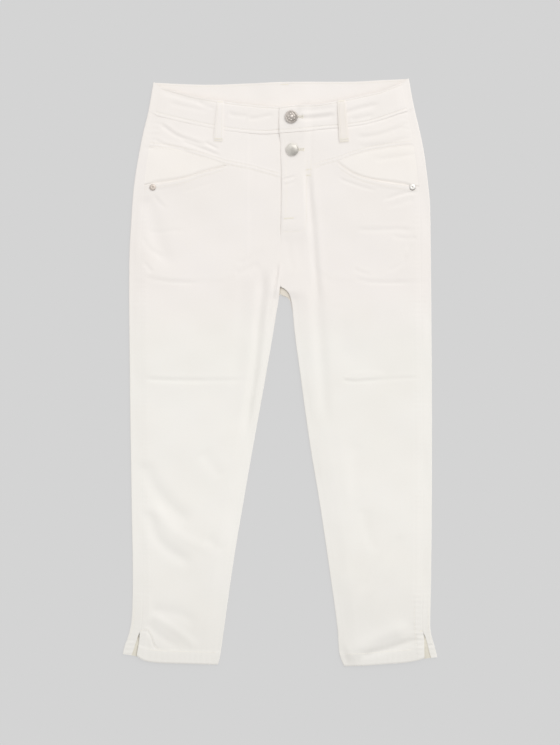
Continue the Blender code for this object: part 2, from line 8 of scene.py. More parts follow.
# %% Load the frame
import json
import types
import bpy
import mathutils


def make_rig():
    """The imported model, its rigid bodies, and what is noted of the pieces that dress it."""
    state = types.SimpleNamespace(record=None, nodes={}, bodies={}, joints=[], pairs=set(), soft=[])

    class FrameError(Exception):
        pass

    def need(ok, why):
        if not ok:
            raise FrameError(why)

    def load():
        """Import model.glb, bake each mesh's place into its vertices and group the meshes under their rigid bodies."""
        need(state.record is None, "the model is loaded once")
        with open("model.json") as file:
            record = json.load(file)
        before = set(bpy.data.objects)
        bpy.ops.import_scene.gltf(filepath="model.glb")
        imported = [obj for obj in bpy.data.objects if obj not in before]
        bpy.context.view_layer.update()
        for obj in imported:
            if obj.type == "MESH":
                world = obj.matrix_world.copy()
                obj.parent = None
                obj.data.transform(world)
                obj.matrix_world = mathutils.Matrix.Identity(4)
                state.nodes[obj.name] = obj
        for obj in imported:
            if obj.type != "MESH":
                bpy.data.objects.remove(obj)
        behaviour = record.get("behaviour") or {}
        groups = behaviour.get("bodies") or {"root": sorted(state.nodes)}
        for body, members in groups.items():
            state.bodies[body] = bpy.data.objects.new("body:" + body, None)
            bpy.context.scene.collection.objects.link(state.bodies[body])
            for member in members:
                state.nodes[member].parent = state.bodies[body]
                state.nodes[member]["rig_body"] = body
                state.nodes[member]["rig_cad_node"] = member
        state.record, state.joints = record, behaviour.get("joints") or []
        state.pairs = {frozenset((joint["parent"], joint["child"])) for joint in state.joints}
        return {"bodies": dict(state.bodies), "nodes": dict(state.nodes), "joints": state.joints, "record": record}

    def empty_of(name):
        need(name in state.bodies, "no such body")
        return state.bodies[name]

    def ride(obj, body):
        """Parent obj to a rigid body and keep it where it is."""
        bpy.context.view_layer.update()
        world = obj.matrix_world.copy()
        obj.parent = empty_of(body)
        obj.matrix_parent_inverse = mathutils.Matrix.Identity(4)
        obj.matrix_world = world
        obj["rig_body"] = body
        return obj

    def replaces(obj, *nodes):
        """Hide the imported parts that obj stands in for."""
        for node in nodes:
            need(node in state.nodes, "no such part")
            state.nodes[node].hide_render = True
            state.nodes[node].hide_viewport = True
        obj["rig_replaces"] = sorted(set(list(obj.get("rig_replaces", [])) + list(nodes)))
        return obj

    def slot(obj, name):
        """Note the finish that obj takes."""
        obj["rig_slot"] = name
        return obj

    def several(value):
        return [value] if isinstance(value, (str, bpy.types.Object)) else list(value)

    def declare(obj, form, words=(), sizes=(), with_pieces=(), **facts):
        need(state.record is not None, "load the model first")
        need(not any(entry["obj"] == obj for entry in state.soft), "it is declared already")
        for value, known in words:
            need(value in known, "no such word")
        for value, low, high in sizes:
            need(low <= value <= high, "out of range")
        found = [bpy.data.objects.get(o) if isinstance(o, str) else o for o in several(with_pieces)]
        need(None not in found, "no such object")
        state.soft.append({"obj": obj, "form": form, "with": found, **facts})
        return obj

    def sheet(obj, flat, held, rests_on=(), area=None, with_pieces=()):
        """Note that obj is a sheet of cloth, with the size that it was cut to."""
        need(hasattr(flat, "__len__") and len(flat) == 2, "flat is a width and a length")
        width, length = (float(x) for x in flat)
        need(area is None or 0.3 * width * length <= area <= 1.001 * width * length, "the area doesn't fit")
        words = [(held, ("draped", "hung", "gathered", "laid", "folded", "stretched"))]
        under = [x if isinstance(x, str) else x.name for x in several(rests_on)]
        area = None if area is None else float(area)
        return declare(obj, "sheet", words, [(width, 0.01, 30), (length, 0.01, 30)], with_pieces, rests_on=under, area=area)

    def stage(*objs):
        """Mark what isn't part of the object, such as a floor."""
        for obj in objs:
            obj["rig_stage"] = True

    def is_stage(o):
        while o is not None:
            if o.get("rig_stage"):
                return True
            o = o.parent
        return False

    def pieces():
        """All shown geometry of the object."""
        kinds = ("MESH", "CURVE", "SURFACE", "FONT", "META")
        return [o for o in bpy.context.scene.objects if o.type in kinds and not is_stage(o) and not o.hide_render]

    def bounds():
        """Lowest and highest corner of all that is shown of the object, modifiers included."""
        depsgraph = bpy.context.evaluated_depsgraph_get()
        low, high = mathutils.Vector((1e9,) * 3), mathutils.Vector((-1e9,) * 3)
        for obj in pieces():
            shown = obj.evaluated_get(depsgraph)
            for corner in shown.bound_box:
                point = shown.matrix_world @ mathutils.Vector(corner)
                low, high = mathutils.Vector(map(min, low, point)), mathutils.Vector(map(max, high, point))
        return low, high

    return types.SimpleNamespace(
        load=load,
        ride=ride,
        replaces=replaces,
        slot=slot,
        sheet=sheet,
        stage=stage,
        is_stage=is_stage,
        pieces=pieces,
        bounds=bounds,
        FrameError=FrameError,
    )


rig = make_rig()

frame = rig.load()
cad_low, cad_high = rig.bounds()
print("CAD box", cad_low, cad_high)

# %% What the cells need
import json
import math
from collections import namedtuple

import bmesh
import bpy
import numpy as np
from mathutils import Matrix, Vector
from mathutils.bvhtree import BVHTree

MM = 0.001
SIGN = {"right": -1, "left": 1}


def as_mesh(name, shape):
    """A mesh with that name from a finished bmesh."""
    mesh = bpy.data.meshes.new(name)
    shape.to_mesh(mesh)
    shape.free()
    return mesh


def put(name, data):
    """A new object in the scene, from a mesh, a camera or a lamp."""
    made = bpy.data.objects.new(name, data)
    bpy.context.scene.collection.objects.link(made)
    return made


# %% [markdown]
# ## The camera
# A camera that looks straight down from far away sees flat work with next to no perspective. The lens is
# given, and the height is worked out from one fact: a frame of 560 by 745 squares, each 1.5 mm wide on the cloth.

# %% Place the camera
SQUARES_HIGH = 745
SQUARE = 1.5
CLOTH_LEVEL = 5
LENS = 100
FARTHEST = 50

camera_data = bpy.data.cameras.new("overhead")
camera_data.lens = LENS
camera_data.clip_end = FARTHEST
camera = put("overhead", camera_data)
half_view = camera_data.sensor_width / 2 / LENS
half_square = SQUARE / 2 * MM
camera.location = (-half_square, half_square, SQUARES_HIGH * half_square / half_view + CLOTH_LEVEL * MM)
bpy.context.scene.camera = camera
bpy.context.scene.view_settings.view_transform = "Standard"
print("camera height", round(camera.location.z, 3), "m")

# %% [markdown]
# ## Colours and nodes
# Colours are read as sRGB, the way a paint chart or a screen gives them, and Blender's shaders want them
# linear. One function turns them. Another adds a node with its settings and its inputs, which keeps each
# material to a few lines.


# %% Helpers for materials
def srgb(code):
    """A colour such as "f2efe8" as linear red, green, blue and alpha."""
    parts = [int(code[i:i + 2], 16) / 255 for i in (0, 2, 4)]
    return (*(c / 12.92 if c <= 0.04045 else ((c + 0.055) / 1.055) ** 2.4 for c in parts), 1)


def feed(node, inputs):
    """Gives each input its value, or links it to a socket or to the first output of another node."""
    for name, value in inputs.items():
        if isinstance(value, bpy.types.Node):
            value = value.outputs[0]
        if isinstance(value, bpy.types.NodeSocket):
            node.id_data.links.new(value, node.inputs[name])
        else:
            node.inputs[name].default_value = value
    return node


def add(material, kind, settings=None, inputs=None):
    """Adds a node. Settings are its properties."""
    node = material.node_tree.nodes.new(kind)
    for name, value in (settings or {}).items():
        setattr(node, name, value)
    return feed(node, inputs or {})


def start_material(name):
    """A new material and its Principled shader."""
    material = bpy.data.materials.new(name)
    material.use_nodes = True
    return material, material.node_tree.nodes["Principled BSDF"]


# %% [markdown]
# ## Ecru stretch twill
# Twill is woven so that each weft thread passes over one warp thread and under two or three, one step
# further along in every row. That leaves fine diagonal ribs. Unbleached cotton with a little elastane is
# a warm white and matt, with fibres that catch the light at a low angle, which sheen gives. Threads here
# are 0.4 mm apart and the ribs 0.8 mm, which is a little coarser than the cloth, so that a close view
# shows them. The weave follows a UV map measured along the cloth in metres.

# %% Make the twill
THREAD = 0.4
RIB = 0.8
WEAVE_DEPTH = 0.04
# A wave texture at scale 1 has 20 / (2 pi) bands in a unit, so this scale makes each 1 mm wide.
BANDS_OF_1_MM = 2 * math.pi / 20 / MM
# What the colour is scaled by from one y to another: (from y, to y, from value, to value), y in metres.
# Painted light: the legs are painted darker towards the hems, and the top lighter towards the waist, as the light
# falls off down the cloth.
HEMS_PAINTED_SHADE = (-0.46, -0.2, 0.925, 1)
WAIST_PAINTED_LIGHT = (0.24, 0.42, 1, 1.03)
# The legs are a touch cooler than the top, so their red, green and blue are scaled apart.
LEGS_ONLY = (0.14, 0.02, 0, 1)
LEG_TONE = (0.987, 1.01, 1.0, 1)


def twill(name, light, shade):
    """Woven cotton in two close colours, the lighter all over and the darker in patches and slubs, with painted shade
    at the hems and painted light at the waist.
    """
    made, shader = start_material(name)
    uv = add(made, "ShaderNodeUVMap", {"uv_map": "cloth"})
    place = add(made, "ShaderNodeTexCoord").outputs["Object"]
    height = add(made, "ShaderNodeSeparateXYZ", {}, {"Vector": place}).outputs["Y"]
    ribs = add(made, "ShaderNodeTexWave", {"bands_direction": "DIAGONAL"},
               {"Vector": uv, "Scale": BANDS_OF_1_MM / RIB / math.sqrt(2), "Distortion": 0.6, "Detail": 1,
                "Detail Scale": 2})
    warp = add(made, "ShaderNodeTexWave", {"bands_direction": "X"},
               {"Vector": uv, "Scale": BANDS_OF_1_MM / THREAD, "Distortion": 0.4})
    weave = add(made, "ShaderNodeMath", {"operation": "MULTIPLY_ADD"}, {0: warp, 1: 0.35, 2: ribs})
    patches = add(made, "ShaderNodeTexNoise", {}, {"Vector": place, "Scale": 9, "Detail": 3})
    slubs = add(made, "ShaderNodeTexNoise", {}, {"Vector": uv, "Scale": 420, "Detail": 2})
    mottle = add(made, "ShaderNodeMath", {"operation": "MULTIPLY_ADD"}, {0: slubs, 1: 0.5, 2: patches})
    soft = add(made, "ShaderNodeMapRange", {},
               {"Value": mottle, "From Min": 0.45, "From Max": 1.05, "To Min": 0, "To Max": 0.55})
    low = add(made, "ShaderNodeMapRange", {},
              {"Value": weave, "From Min": 0, "From Max": 1.35, "To Min": 0.975, "To Max": 1.01})
    # Painted shade towards the hems and painted light at the waist.
    hems, waist, legs = [
        add(made, "ShaderNodeMapRange", {"interpolation_type": "SMOOTHSTEP"},
            {"Value": height, "From Min": start, "From Max": end, "To Min": first, "To Max": last})
        for start, end, first, last in (HEMS_PAINTED_SHADE, WAIST_PAINTED_LIGHT, LEGS_ONLY)]
    ends = add(made, "ShaderNodeMath", {"operation": "MULTIPLY"}, {0: hems, 1: waist})
    scale = add(made, "ShaderNodeMath", {"operation": "MULTIPLY"}, {0: ends, 1: low})
    tint, tone = [
        add(made, "ShaderNodeMix", {"data_type": "RGBA"}, {"Factor": share, 6: first, 7: last}).outputs[2]
        for share, first, last in ((soft, srgb(light), srgb(shade)), (legs, (1, 1, 1, 1), LEG_TONE))]
    toned = add(made, "ShaderNodeVectorMath", {"operation": "MULTIPLY"}, {0: tint, 1: tone})
    woven = add(made, "ShaderNodeVectorMath", {"operation": "SCALE"}, {"Vector": toned, "Scale": scale})
    relief = add(made, "ShaderNodeBump", {},
                 {"Height": weave, "Strength": 0.35, "Distance": WEAVE_DEPTH * MM})
    feed(shader, {"Base Color": woven, "Normal": relief, "Roughness": 0.88, "Sheen Weight": 0.12,
                  "Sheen Roughness": 0.5, "Specular IOR Level": 0.25})
    print(name, "made of", len(made.node_tree.nodes), "nodes")
    return made


TWILL = twill("ecru_stretch_twill", "f3eeea", "efe9e2")
# A darker copy of the twill for the left and back belt loops: painted shade, as the loops take less light than the
# band.
LOOP_TWILL_PAINTED_SHADE = twill("ecru_loop_twill", "f0eae4", "ebe4dc")
FACING = twill("ecru_pocket_twill", "f6f1ec", "f1ebe3")
# The twill's reverse, on the inner faces of the fronts and backs: warmer and darker than the face, partly because the
# reverse side is, and partly as painted shade for the inside seen in the slits and at the crotch.
REVERSE_WITH_PAINTED_SHADE = twill("ecru_twill_reverse", "e9e2d6", "ded5c7")

# %% [markdown]
# ## Sewing thread and metal
# The thread is spun polyester in the cloth's own colour, a shade warmer, with a low gloss. The trim is
# zinc alloy with a nickel finish. On the upper button it is antiqued: dark in the hollows, with the
# crowns rubbed bright, so its colour follows the height of the relief. The right rivet has gone dull. The
# lower button and the left rivet are bright. Light is painted on as well: both buttons are painted lighter
# towards the wearer's right, the lower button's two tones are a painted highlight and painted shade, and
# the left rivet is painted darker along its lower side. Metal keeps its colour in its reflection, so
# metallic is 1, and a brushed finish is fairly rough.


# %% Make the thread and the metal
def spun_thread(name, colour):
    """Spun polyester: one colour, with fibres as a fine bump."""
    made, shader = start_material(name)
    place = add(made, "ShaderNodeTexCoord").outputs["Object"]
    twist = add(made, "ShaderNodeTexNoise", {}, {"Vector": place, "Scale": 2600, "Detail": 1})
    fibres = add(made, "ShaderNodeBump", {}, {"Height": twist, "Strength": 0.3, "Distance": 0.05 * MM})
    feed(shader, {"Base Color": srgb(colour), "Normal": fibres, "Roughness": 0.6, "Sheen Weight": 0.2})
    return made


def nickel(name, crown, hollow, roughness):
    """Nickel in two tones, light on the crown and dark in the hollow, mixed by a mesh attribute: patina, and painted
    highlight and shade.
    """
    made, shader = start_material(name)
    place = add(made, "ShaderNodeTexCoord").outputs["Object"]
    worn = add(made, "ShaderNodeAttribute", {"attribute_name": "worn"}).outputs["Fac"]
    stain = add(made, "ShaderNodeTexNoise", {}, {"Vector": place, "Scale": 500, "Detail": 3})
    blotch = add(made, "ShaderNodeMapRange", {},
                 {"Value": stain, "From Min": 0.3, "From Max": 0.7, "To Min": -0.15, "To Max": 0.15})
    patchy = add(made, "ShaderNodeMath", {"operation": "ADD", "use_clamp": True}, {0: blotch, 1: worn})
    tint = add(made, "ShaderNodeMix", {"data_type": "RGBA"},
               {"Factor": patchy, 6: srgb(hollow), 7: srgb(crown)}).outputs[2]
    feed(shader, {"Base Color": tint, "Metallic": 1, "Roughness": roughness})
    return made


THREAD_ECRU = spun_thread("spun_polyester_thread", "f2ecdf")
ANTIQUE = nickel("antique_nickel", "dcd4cd", "857e77", 0.45)
DULL = nickel("dull_nickel", "dcd2c9", "b0a79f", 0.6)
# On the smooth lower button these two tones are a painted highlight and painted shade.
BRIGHT = nickel("bright_nickel", "e4e0d9", "c0bcb5", 0.5)
POLISHED = nickel("polished_nickel", "f6f3ee", "8f8a84", 0.5)
print(len(bpy.data.materials), "materials")

# %% [markdown]
# ## The pattern
# A pattern cutter draws each piece from a few measures. These tables are those measures: where each edge
# and seam lies, a row for each height or each distance from the middle. A smooth curve through the rows
# gives the places between them.

# %% Draw the edges that run along the legs
Edge = namedtuple("Edge", "y right left")


def rows_of(kind, *rows):
    """A table whose columns are named by that kind of row."""
    return tuple(kind(*row) for row in rows)


OUTER_EDGE = rows_of(Edge, (-427, -237.7, 235.7), (-411, -234.7, 231.6), (-399, -230.2, 228),
    (-384, -225.9, 225.2), (-370, -223.9, 224.9), (-342, -222.3, 225.6), (-192, -223.8, 227.2),
    (-12, -226.3, 227.2), (183, -226.8, 225.7), (228, -224.3, 225.2), (258, -222.3, 224.2),
    (288, -219.3, 221.2), (333, -211.8, 215.2), (363, -205.8, 209.2), (390, -199, 202.7),
    (408, -195.7, 198.7), (439, -190.5, 193.2))
FRONT_CROTCH = 128.6
BACK_CROTCH = 117.4
LEG_INNER_EDGE = rows_of(Edge, (-439, -94, 94.8), (-426, -90.8, 89.5), (-384, -84.8, 85.4),
    (-282, -70.3, 71.5), (-192, -55.3, 58.1), (-102, -39.6, 43.2), (-12, -23.4, 30.8), (63, -10.5, 20.8),
    (90, -6.2, 18.3))
FRONT_INNER_EDGE = LEG_INNER_EDGE + rows_of(Edge, (103, -3.8, 16.8), (111, -2.6, 15.2), (118, -1.8, 13),
    (123, -1.3, 9.4), (127, -1, 4.6), (FRONT_CROTCH, -0.6, 1.2))
BACK_INNER_EDGE = LEG_INNER_EDGE + rows_of(Edge, (100, -5.5, 16), (106, -4.2, 15), (111, -3, 12.2),
    (114.6, -2, 7.4), (BACK_CROTCH, -0.6, 1.2))
SIDE_SEAM_INSET = rows_of(Edge, (-389, 16.1, 12), (-342, 15.3, 12.6), (-12, 17.3, 14.7), (150, 17.3, 15.7),
    (288, 15.8, 14.7), (340, 13.8, 13.7), (439, 11, 11.5))
SLIT_TOP = -389
SLIT_BACK_LIP_INSET = rows_of(Edge, (-427, 12.4, 10), (-413, 15.6, 10.2), (-404, 15.2, 9.7),
    (-395, 15, 10.2), (SLIT_TOP, 16, 12))
SLIT_FRONT_LIP = rows_of(Edge, (-439, -216.5, 216.3), (-422, -215.4, 216), (-413, -214, 215.8),
    (-404, -212.4, 215.7), (-395, -211.5, 215.3), (SLIT_TOP, -211.1, 213.9))
RIGHT_RUN = 5
FLY_EDGE = rows_of(Edge, (182, 0, 0), (190, 1, 0.1), (198, 2.5, 0.2), (222, RIGHT_RUN, 0.7),
    (288, RIGHT_RUN, 1.5), (330, RIGHT_RUN, 0.5), (358, RIGHT_RUN, -1.5), (362, RIGHT_RUN, -2.8),
    (400, RIGHT_RUN, -4))
print(len(OUTER_EDGE), "rows along the outer edge")

# %% Draw the seams that run across
Across = namedtuple("Across", "from_middle right left")
WAIST_EDGE_FRONT = rows_of(Across, (0, 399.1, 399), (20, 399.9, 401.5), (55, 403.2, 402.7),
    (90, 407.6, 408.7), (130, 414.7, 417.5), (150, 419.8, 421.8), (170, 425.8, 430.2), (193, 433, 439))
WAIST_SEAM_FRONT = rows_of(Across, (-40, 364, 357), (-5, 362.5, 359.5), (2, 360.1, 360), (12, 358.8, 360.7),
    (30, 358.6, 362), (60, 361, 365), (90, 364.9, 367.6), (125, 371.6, 372.2), (155, 378.3, 380.4),
    (180, 384.5, 389.2), (202, 391.6, 395.9))
WAIST_EDGE_BACK = rows_of(Across, (0, 437, 436.8), (45, 434.9, 437.4), (112, 432.8, 437.6),
    (150, 434, 439.6), (193, 436, 441.5))
WAIST_SEAM_BACK = rows_of(Across, (0, 392.5, 392.5), (200, 391, 396.5))
YOKE_SEAM = rows_of(Across, (0, 292, 288), (20, 297.4, 294.6), (42, 303.7, 303), (64, 308.3, 311),
    (84, 312.4, 316.5), (105, 319.4, 324), (127, 326.1, 331), (157, 333.5, 336.5), (180, 337.1, 339.5),
    (200, 339.5, 341))
POCKET_MOUTH = rows_of(Across, (84, 310.5, 316.6), (95, 307.5, 308.3), (108, 304, 300.5), (122, 300, 294.8),
    (140, 293.5, 290), (166, 287.5, 285.3), (192, 284, 281.6), (207, 281.5, 279.6))
MOUTH_TOP = {"right": -81, "left": 85.5}
HEM_FRONT = rows_of(Across, (94, -438, -440.3), (130, -436.7, -439), (157, -436, -436.8),
    (186, -434.6, -434.7), (207, -430.5, -431), (216, -424.7, -428.2))
HEM_BACK = rows_of(Across, (95, -435, -436), (200, -430, -431), (222, -424, -428), (236.5, -422, -426.5))
print(len(YOKE_SEAM), "rows along the yoke seam")


# %% Read the pattern
def curve(points, at):
    """A smooth curve through (from, to) points, straight on past its ends. It takes a number or an array."""
    px, py = np.array(sorted(points), float).T
    at = np.asarray(at, float)
    slope = np.diff(py) / np.diff(px)
    tangent = np.concatenate((slope[:1], (slope[:-1] + slope[1:]) / 2, slope[-1:]))
    i = np.clip(np.searchsorted(px, at, side="right") - 1, 0, len(px) - 2)
    span = px[i + 1] - px[i]
    t = np.clip((at - px[i]) / span, 0, 1)
    inside = py[i] * (1 + 2 * t) * (1 - t) ** 2 + py[i + 1] * t * t * (3 - 2 * t)
    inside += span * (tangent[i] * t * (1 - t) ** 2 - tangent[i + 1] * t * t * (1 - t))
    return inside + slope[0] * np.minimum(at - px[0], 0) + slope[-1] * np.maximum(at - px[-1], 0)


def ease(low, high, value):
    """0 up to low, 1 from high on, and smooth between them."""
    t = np.clip((np.asarray(value, float) - low) / (high - low), 0, 1)
    return t * t * (3 - 2 * t)


def bell(off, width):
    """1 on a line and less on both sides of it: about a third at that width, and next to nothing at twice."""
    return np.exp(-((off / width) ** 2))


def edge_x(table, side, y):
    """x of an edge that runs along the leg."""
    return curve([(row.y, getattr(row, side)) for row in table], y)


def crossing_y(table, side, x):
    """y of an edge or seam that runs across."""
    return curve([(row.from_middle, getattr(row, side)) for row in table], np.asarray(x) * SIGN[side])


# Rounds in which leaning columns and a curved seam settle on where they cross.
ROUNDS = 12


def meet(x_at, table, side, columns):
    """The height at which each column, which may lean with y, crosses a seam or edge."""
    y = np.full(columns, float(getattr(table[0], side)))
    for _ in range(ROUNDS):
        y = crossing_y(table, side, x_at(y))
    return y


# %% [markdown]
# The side seams and the slits below them lie on the upper side, a little inside the outer fold.


# %% Lay the edges
def outer_x(side, y):
    """The outer fold."""
    return edge_x(OUTER_EDGE, side, y)


def side_seam_x(side, y):
    """The side seam, in from the fold."""
    return outer_x(side, y) - SIGN[side] * edge_x(SIDE_SEAM_INSET, side, y)


def back_lip_x(side, y):
    """The back's edge on the upper side: the seam, and below it the back lip of the slit."""
    slit = outer_x(side, y) - SIGN[side] * edge_x(SLIT_BACK_LIP_INSET, side, y)
    return np.where(np.asarray(y) >= SLIT_TOP, side_seam_x(side, y), slit)


def front_lip_x(side, y):
    """The front's edge: the seam, and below it the front lip of the slit."""
    return np.where(np.asarray(y) >= SLIT_TOP, side_seam_x(side, y), edge_x(SLIT_FRONT_LIP, side, y))


def front_end_x(side, y):
    """Where a front ends towards the middle: at the inner leg edge, the fly edge or under the lap."""
    y = np.asarray(y, float)
    fly = np.minimum(RIGHT_RUN, edge_x(FLY_EDGE, side, np.maximum(y, FLY_EDGE[0].y)))
    return np.where(y <= FRONT_CROTCH, edge_x(FRONT_INNER_EDGE, side, y), fly)


def back_end_x(side, y):
    """Where a back ends: at the inner leg edge, or at the seat seam in the middle."""
    y = np.asarray(y, float)
    return np.where(y <= BACK_CROTCH, edge_x(BACK_INNER_EDGE, side, y), 0)


def closing(y, crotch):
    """1 where the two layers meet at the inner leg edge, 0 above the crotch, where they lie apart."""
    return 1 - ease(crotch, crotch + 4, y)


HIP_LEVEL = 183
print("hip", round(float(outer_x("left", HIP_LEVEL) - outer_x("right", HIP_LEVEL))), "mm wide")

# %% [markdown]
# ## Creases
# Cloth that has been folded in a packet, worn or pressed keeps soft troughs and ridges. Each row here is
# one of them: the points that it runs through, how wide it is, how far it rises, or sinks if that is
# below 0, and how high a ridge runs beside it, as a share of its depth. They are as uneven as real ones:
# most start sharply and die away.

# %% List the creases
Crease = namedtuple("Crease", "name points width rise ridge", defaults=(0,))
CREASES = rows_of(
    Crease,
    # The yokes, below the waistband.
    ("yoke fold under the right loop", ((-181.5, 377), (-168, 367), (-154.5, 358), (-133.5, 350),
     (-109.5, 342)), 3.1, -0.72, 0.4),
    ("yoke fold below it", ((-150, 350), (-139.5, 346.5), (-124.5, 341), (-103.5, 333), (-87, 326)), 2.7,
     -0.55, 0.4),
    ("dent at the foot of the right loop", ((-112.5, 347), (-106.5, 344), (-93, 337)), 2.2, -0.7),
    ("yoke fold near the seam", ((-190, 352), (-172, 344), (-150, 338), (-128, 331)), 2.6, -0.4, 0.4),
    ("side pull", ((-211, 340), (-201, 339.5), (-189, 339)), 2.4, -0.4, 0.4),
    ("left yoke drag, upper", ((112, 355), (140, 358), (165, 365), (192, 376)), 3.4, -0.5, 0.5),
    ("left yoke drag, lower", ((116, 340), (150, 344), (176, 350), (200, 358)), 3.4, -0.5, 0.5),
    ("left yoke drag, lowest", ((110, 330), (140, 336), (176, 343), (206, 346)), 3, -0.35, 0.4),
    ("drag above the left mouth", ((140, 322), (170, 326), (206, 331)), 4, -0.4, 0.3),
    # The front of the leg on each side of the fly.
    ("trough beside the fly", ((41.5, 318), (43, 300), (45, 283), (47, 262), (49.5, 241), (52, 215),
     (54.5, 178), (57.5, 140), (61, 100)), 5, -1.75, 0.3),
    ("trough inside the left leg", ((55, 150), (60, 118), (63, 73), (66, 40), (69, 0), (71, -40),
     (74, -90)), 9.5, -1.9),
    ("dent of the fly tack", ((-3, 231), (6, 232), (15, 232.5), (27, 232)), 3, -0.25, 0.3),
    ("second fold on the fly", ((5, 291), (14, 294), (24, 297)), 2.0, -0.45, 0.3),
    ("third fold on the fly", ((4, 283), (14, 285), (24, 290)), 1.8, -0.4, 0.3),
    ("drag at the fly's foot", ((14, 206), (16, 180), (23, 150)), 5.5, -0.35, 0.1),
    ("drag beside it", ((30, 204), (31, 180), (36, 150)), 5.5, -0.25, 0.1),
    # The inner thighs.
    ("right thigh trough", ((-18.5, 162), (-21, 139), (-24, 109), (-28, 71), (-31, 34), (-36, -11),
     (-43.5, -56), (-51, -100)), 7.2, -2.8, 0.5),
    ("right inseam trough", ((-1.5, 166), (-4.5, 146), (-9, 118), (-13.5, 96), (-19, 64)), 2.2, -1.4, 0.5),
    ("right thigh hollow", ((-46, 150), (-48, 100), (-54, 40), (-62, -30)), 12, -0.8),
    ("right thigh drag", ((-70, 150), (-50, 158), (-30, 168)), 6, -0.5, 0.4),
    ("right thigh drag, upper", ((-66, 164), (-46, 172), (-26, 188)), 5, -0.35, 0.4),
    ("left thigh shallow", ((96, 110), (102, 60), (108, 10)), 12, -0.4),
    # The hips below the pocket mouths.
    ("rivet pull, left", ((206, 274), (188, 271), (170, 266), (152, 259)), 2.4, -0.9, 0.4),
    ("rivet pull, left, lower", ((200, 262), (182, 256), (160, 250)), 3, -0.25, 0.3),
    ("rivet pull, right", ((-189, 268), (-180, 257), (-170, 248)), 3.2, -0.4, 0.3),
    ("hip hollow, right", ((-195, 271), (-189, 251), (-184.5, 232), (-178.5, 211), (-169.5, 184),
     (-153, 160)), 12, -1.25, 0.1),
    ("hip dent, left", ((112, 217), (148, 217), (176, 218), (206, 215)), 3.4, -0.5, 0.3),
    ("hip dent, left, lower", ((168, 208), (186, 204), (206, 206)), 3, -0.35, 0.3),
    ("hip dent, right", ((-201, 215), (-180, 213), (-160, 216), (-140, 214)), 3, -0.3, 0.2),
    ("hip pucker, right", ((-204, 206), (-196, 190), (-182, 180), (-172, 176)), 4, -0.35, 0.3),
    ("bag side, right", ((-203, 168), (-197, 160), (-190, 152)), 3.2, -0.4, 0.3),
    ("bag side, left", ((190, 178), (182, 165), (170, 157), (158, 152)), 3.2, -0.4, 0.3),
    ("bag side, left, upper", ((204, 205), (196, 196), (190, 184)), 3, -0.4, 0.3),
    ("bag foot, right", ((-208, 146), (-199, 144.4), (-172, 140), (-150, 137.8), (-122, 137)), 2.6, -0.6,
     0.3),
    ("bag foot, left", ((108, 146), (125, 141), (139, 138), (165, 137), (200, 138.5)), 2.6, -0.5, 0.3),
    ("bag foot, left, upper", ((110, 158), (124, 152), (136, 150)), 2.4, -0.4, 0.4),
    ("facing edge, left", ((86, 294), (106, 286), (130, 278.5), (146, 275)), 1.9, -0.55, 0.3),
    ("facing edge, right", ((-98, 288), (-126, 279), (-150, 272)), 2.2, -0.25, 0.1),
    # Where the trousers were folded across the knee.
    ("knee fold, right", ((-208, -6), (-180, -8), (-140, -9), (-90, -9), (-40, -8)), 3.2, -0.45, 0.3),
    ("knee fold, right, outer", ((-206, -6), (-180, -8), (-140, -9), (-104, -9)), 3.2, -0.35, 0.2),
    ("knee fold, left", ((92, -9), (112, -10.5), (130, -9.5), (150, -8)), 2.2, -0.75, 0.9),
    ("knee fold, left, outer", ((140, -9), (175, -6.5), (212, -5)), 2.4, -0.35, 0.5),
    ("knee ridge, left", ((98, 0), (130, 1.5), (160, 0)), 4, 0.45),
    # The lower legs.
    ("calf drag, right, upper", ((-196.5, -128), (-190.5, -152), (-178.5, -173), (-163.5, -191),
     (-141, -211), (-127.5, -223)), 11.5, -1.35, 0.2),
    ("calf drag, right, lower", ((-193.5, -200), (-187.5, -224), (-178.5, -245), (-163.5, -260),
     (-141, -274), (-124.5, -284)), 10, -1.35, 0.3),
    ("calf ridge, right", ((-192, -191), (-172.5, -215), (-153, -235), (-112.5, -257), (-94.5, -265)), 9,
     0.7),
    ("calf drag, right, inner", ((-112.5, -112), (-100.5, -130), (-90, -143), (-81, -155)), 10, -0.65),
    ("calf hollow, right, inner", ((-109.5, -242), (-94.5, -253), (-81, -265)), 8, -0.5),
    ("calf hollow, left", ((122, -104), (118, -150), (122, -190)), 10, -0.4),
    ("calf drag, left", ((130, -200), (138, -240), (150, -270)), 9, -0.6),
    ("shin drag, left", ((186, -240), (166, -268), (142, -300), (116, -336)), 8, -0.7, 0.4),
    ("shin ridge, left", ((94, -70), (104, -150), (110, -240), (108, -300)), 12, 0.5),
    # The hems.
    ("turning at the right slit", ((-211.5, -389), (-205.5, -386), (-199.5, -387), (-194, -394),
     (-191, -403), (-187.5, -410), (-178.5, -415.5)), 1.6, -0.6, 0.3),
    ("ridge above the right hem", ((-193.5, -355), (-172.5, -370), (-153, -382), (-135, -397),
     (-118.5, -413)), 7, 0.9),
    ("trough below that ridge", ((-201, -370), (-183, -386), (-166.5, -398), (-144, -410)), 7, -0.8),
    ("trough above that ridge", ((-196.5, -347), (-180, -351), (-162, -353), (-142.5, -359), (-120, -374)),
     9, -0.8),
    ("ridge above the left hem", ((90, -425), (108, -413), (126, -404), (144, -395), (168, -385),
     (195, -374)), 12, 2.6),
    ("trough above the left hem", ((117, -424), (132, -419), (156, -413), (180, -405), (198, -399),
     (213, -394.5)), 5, -1.6, 0.2),
)
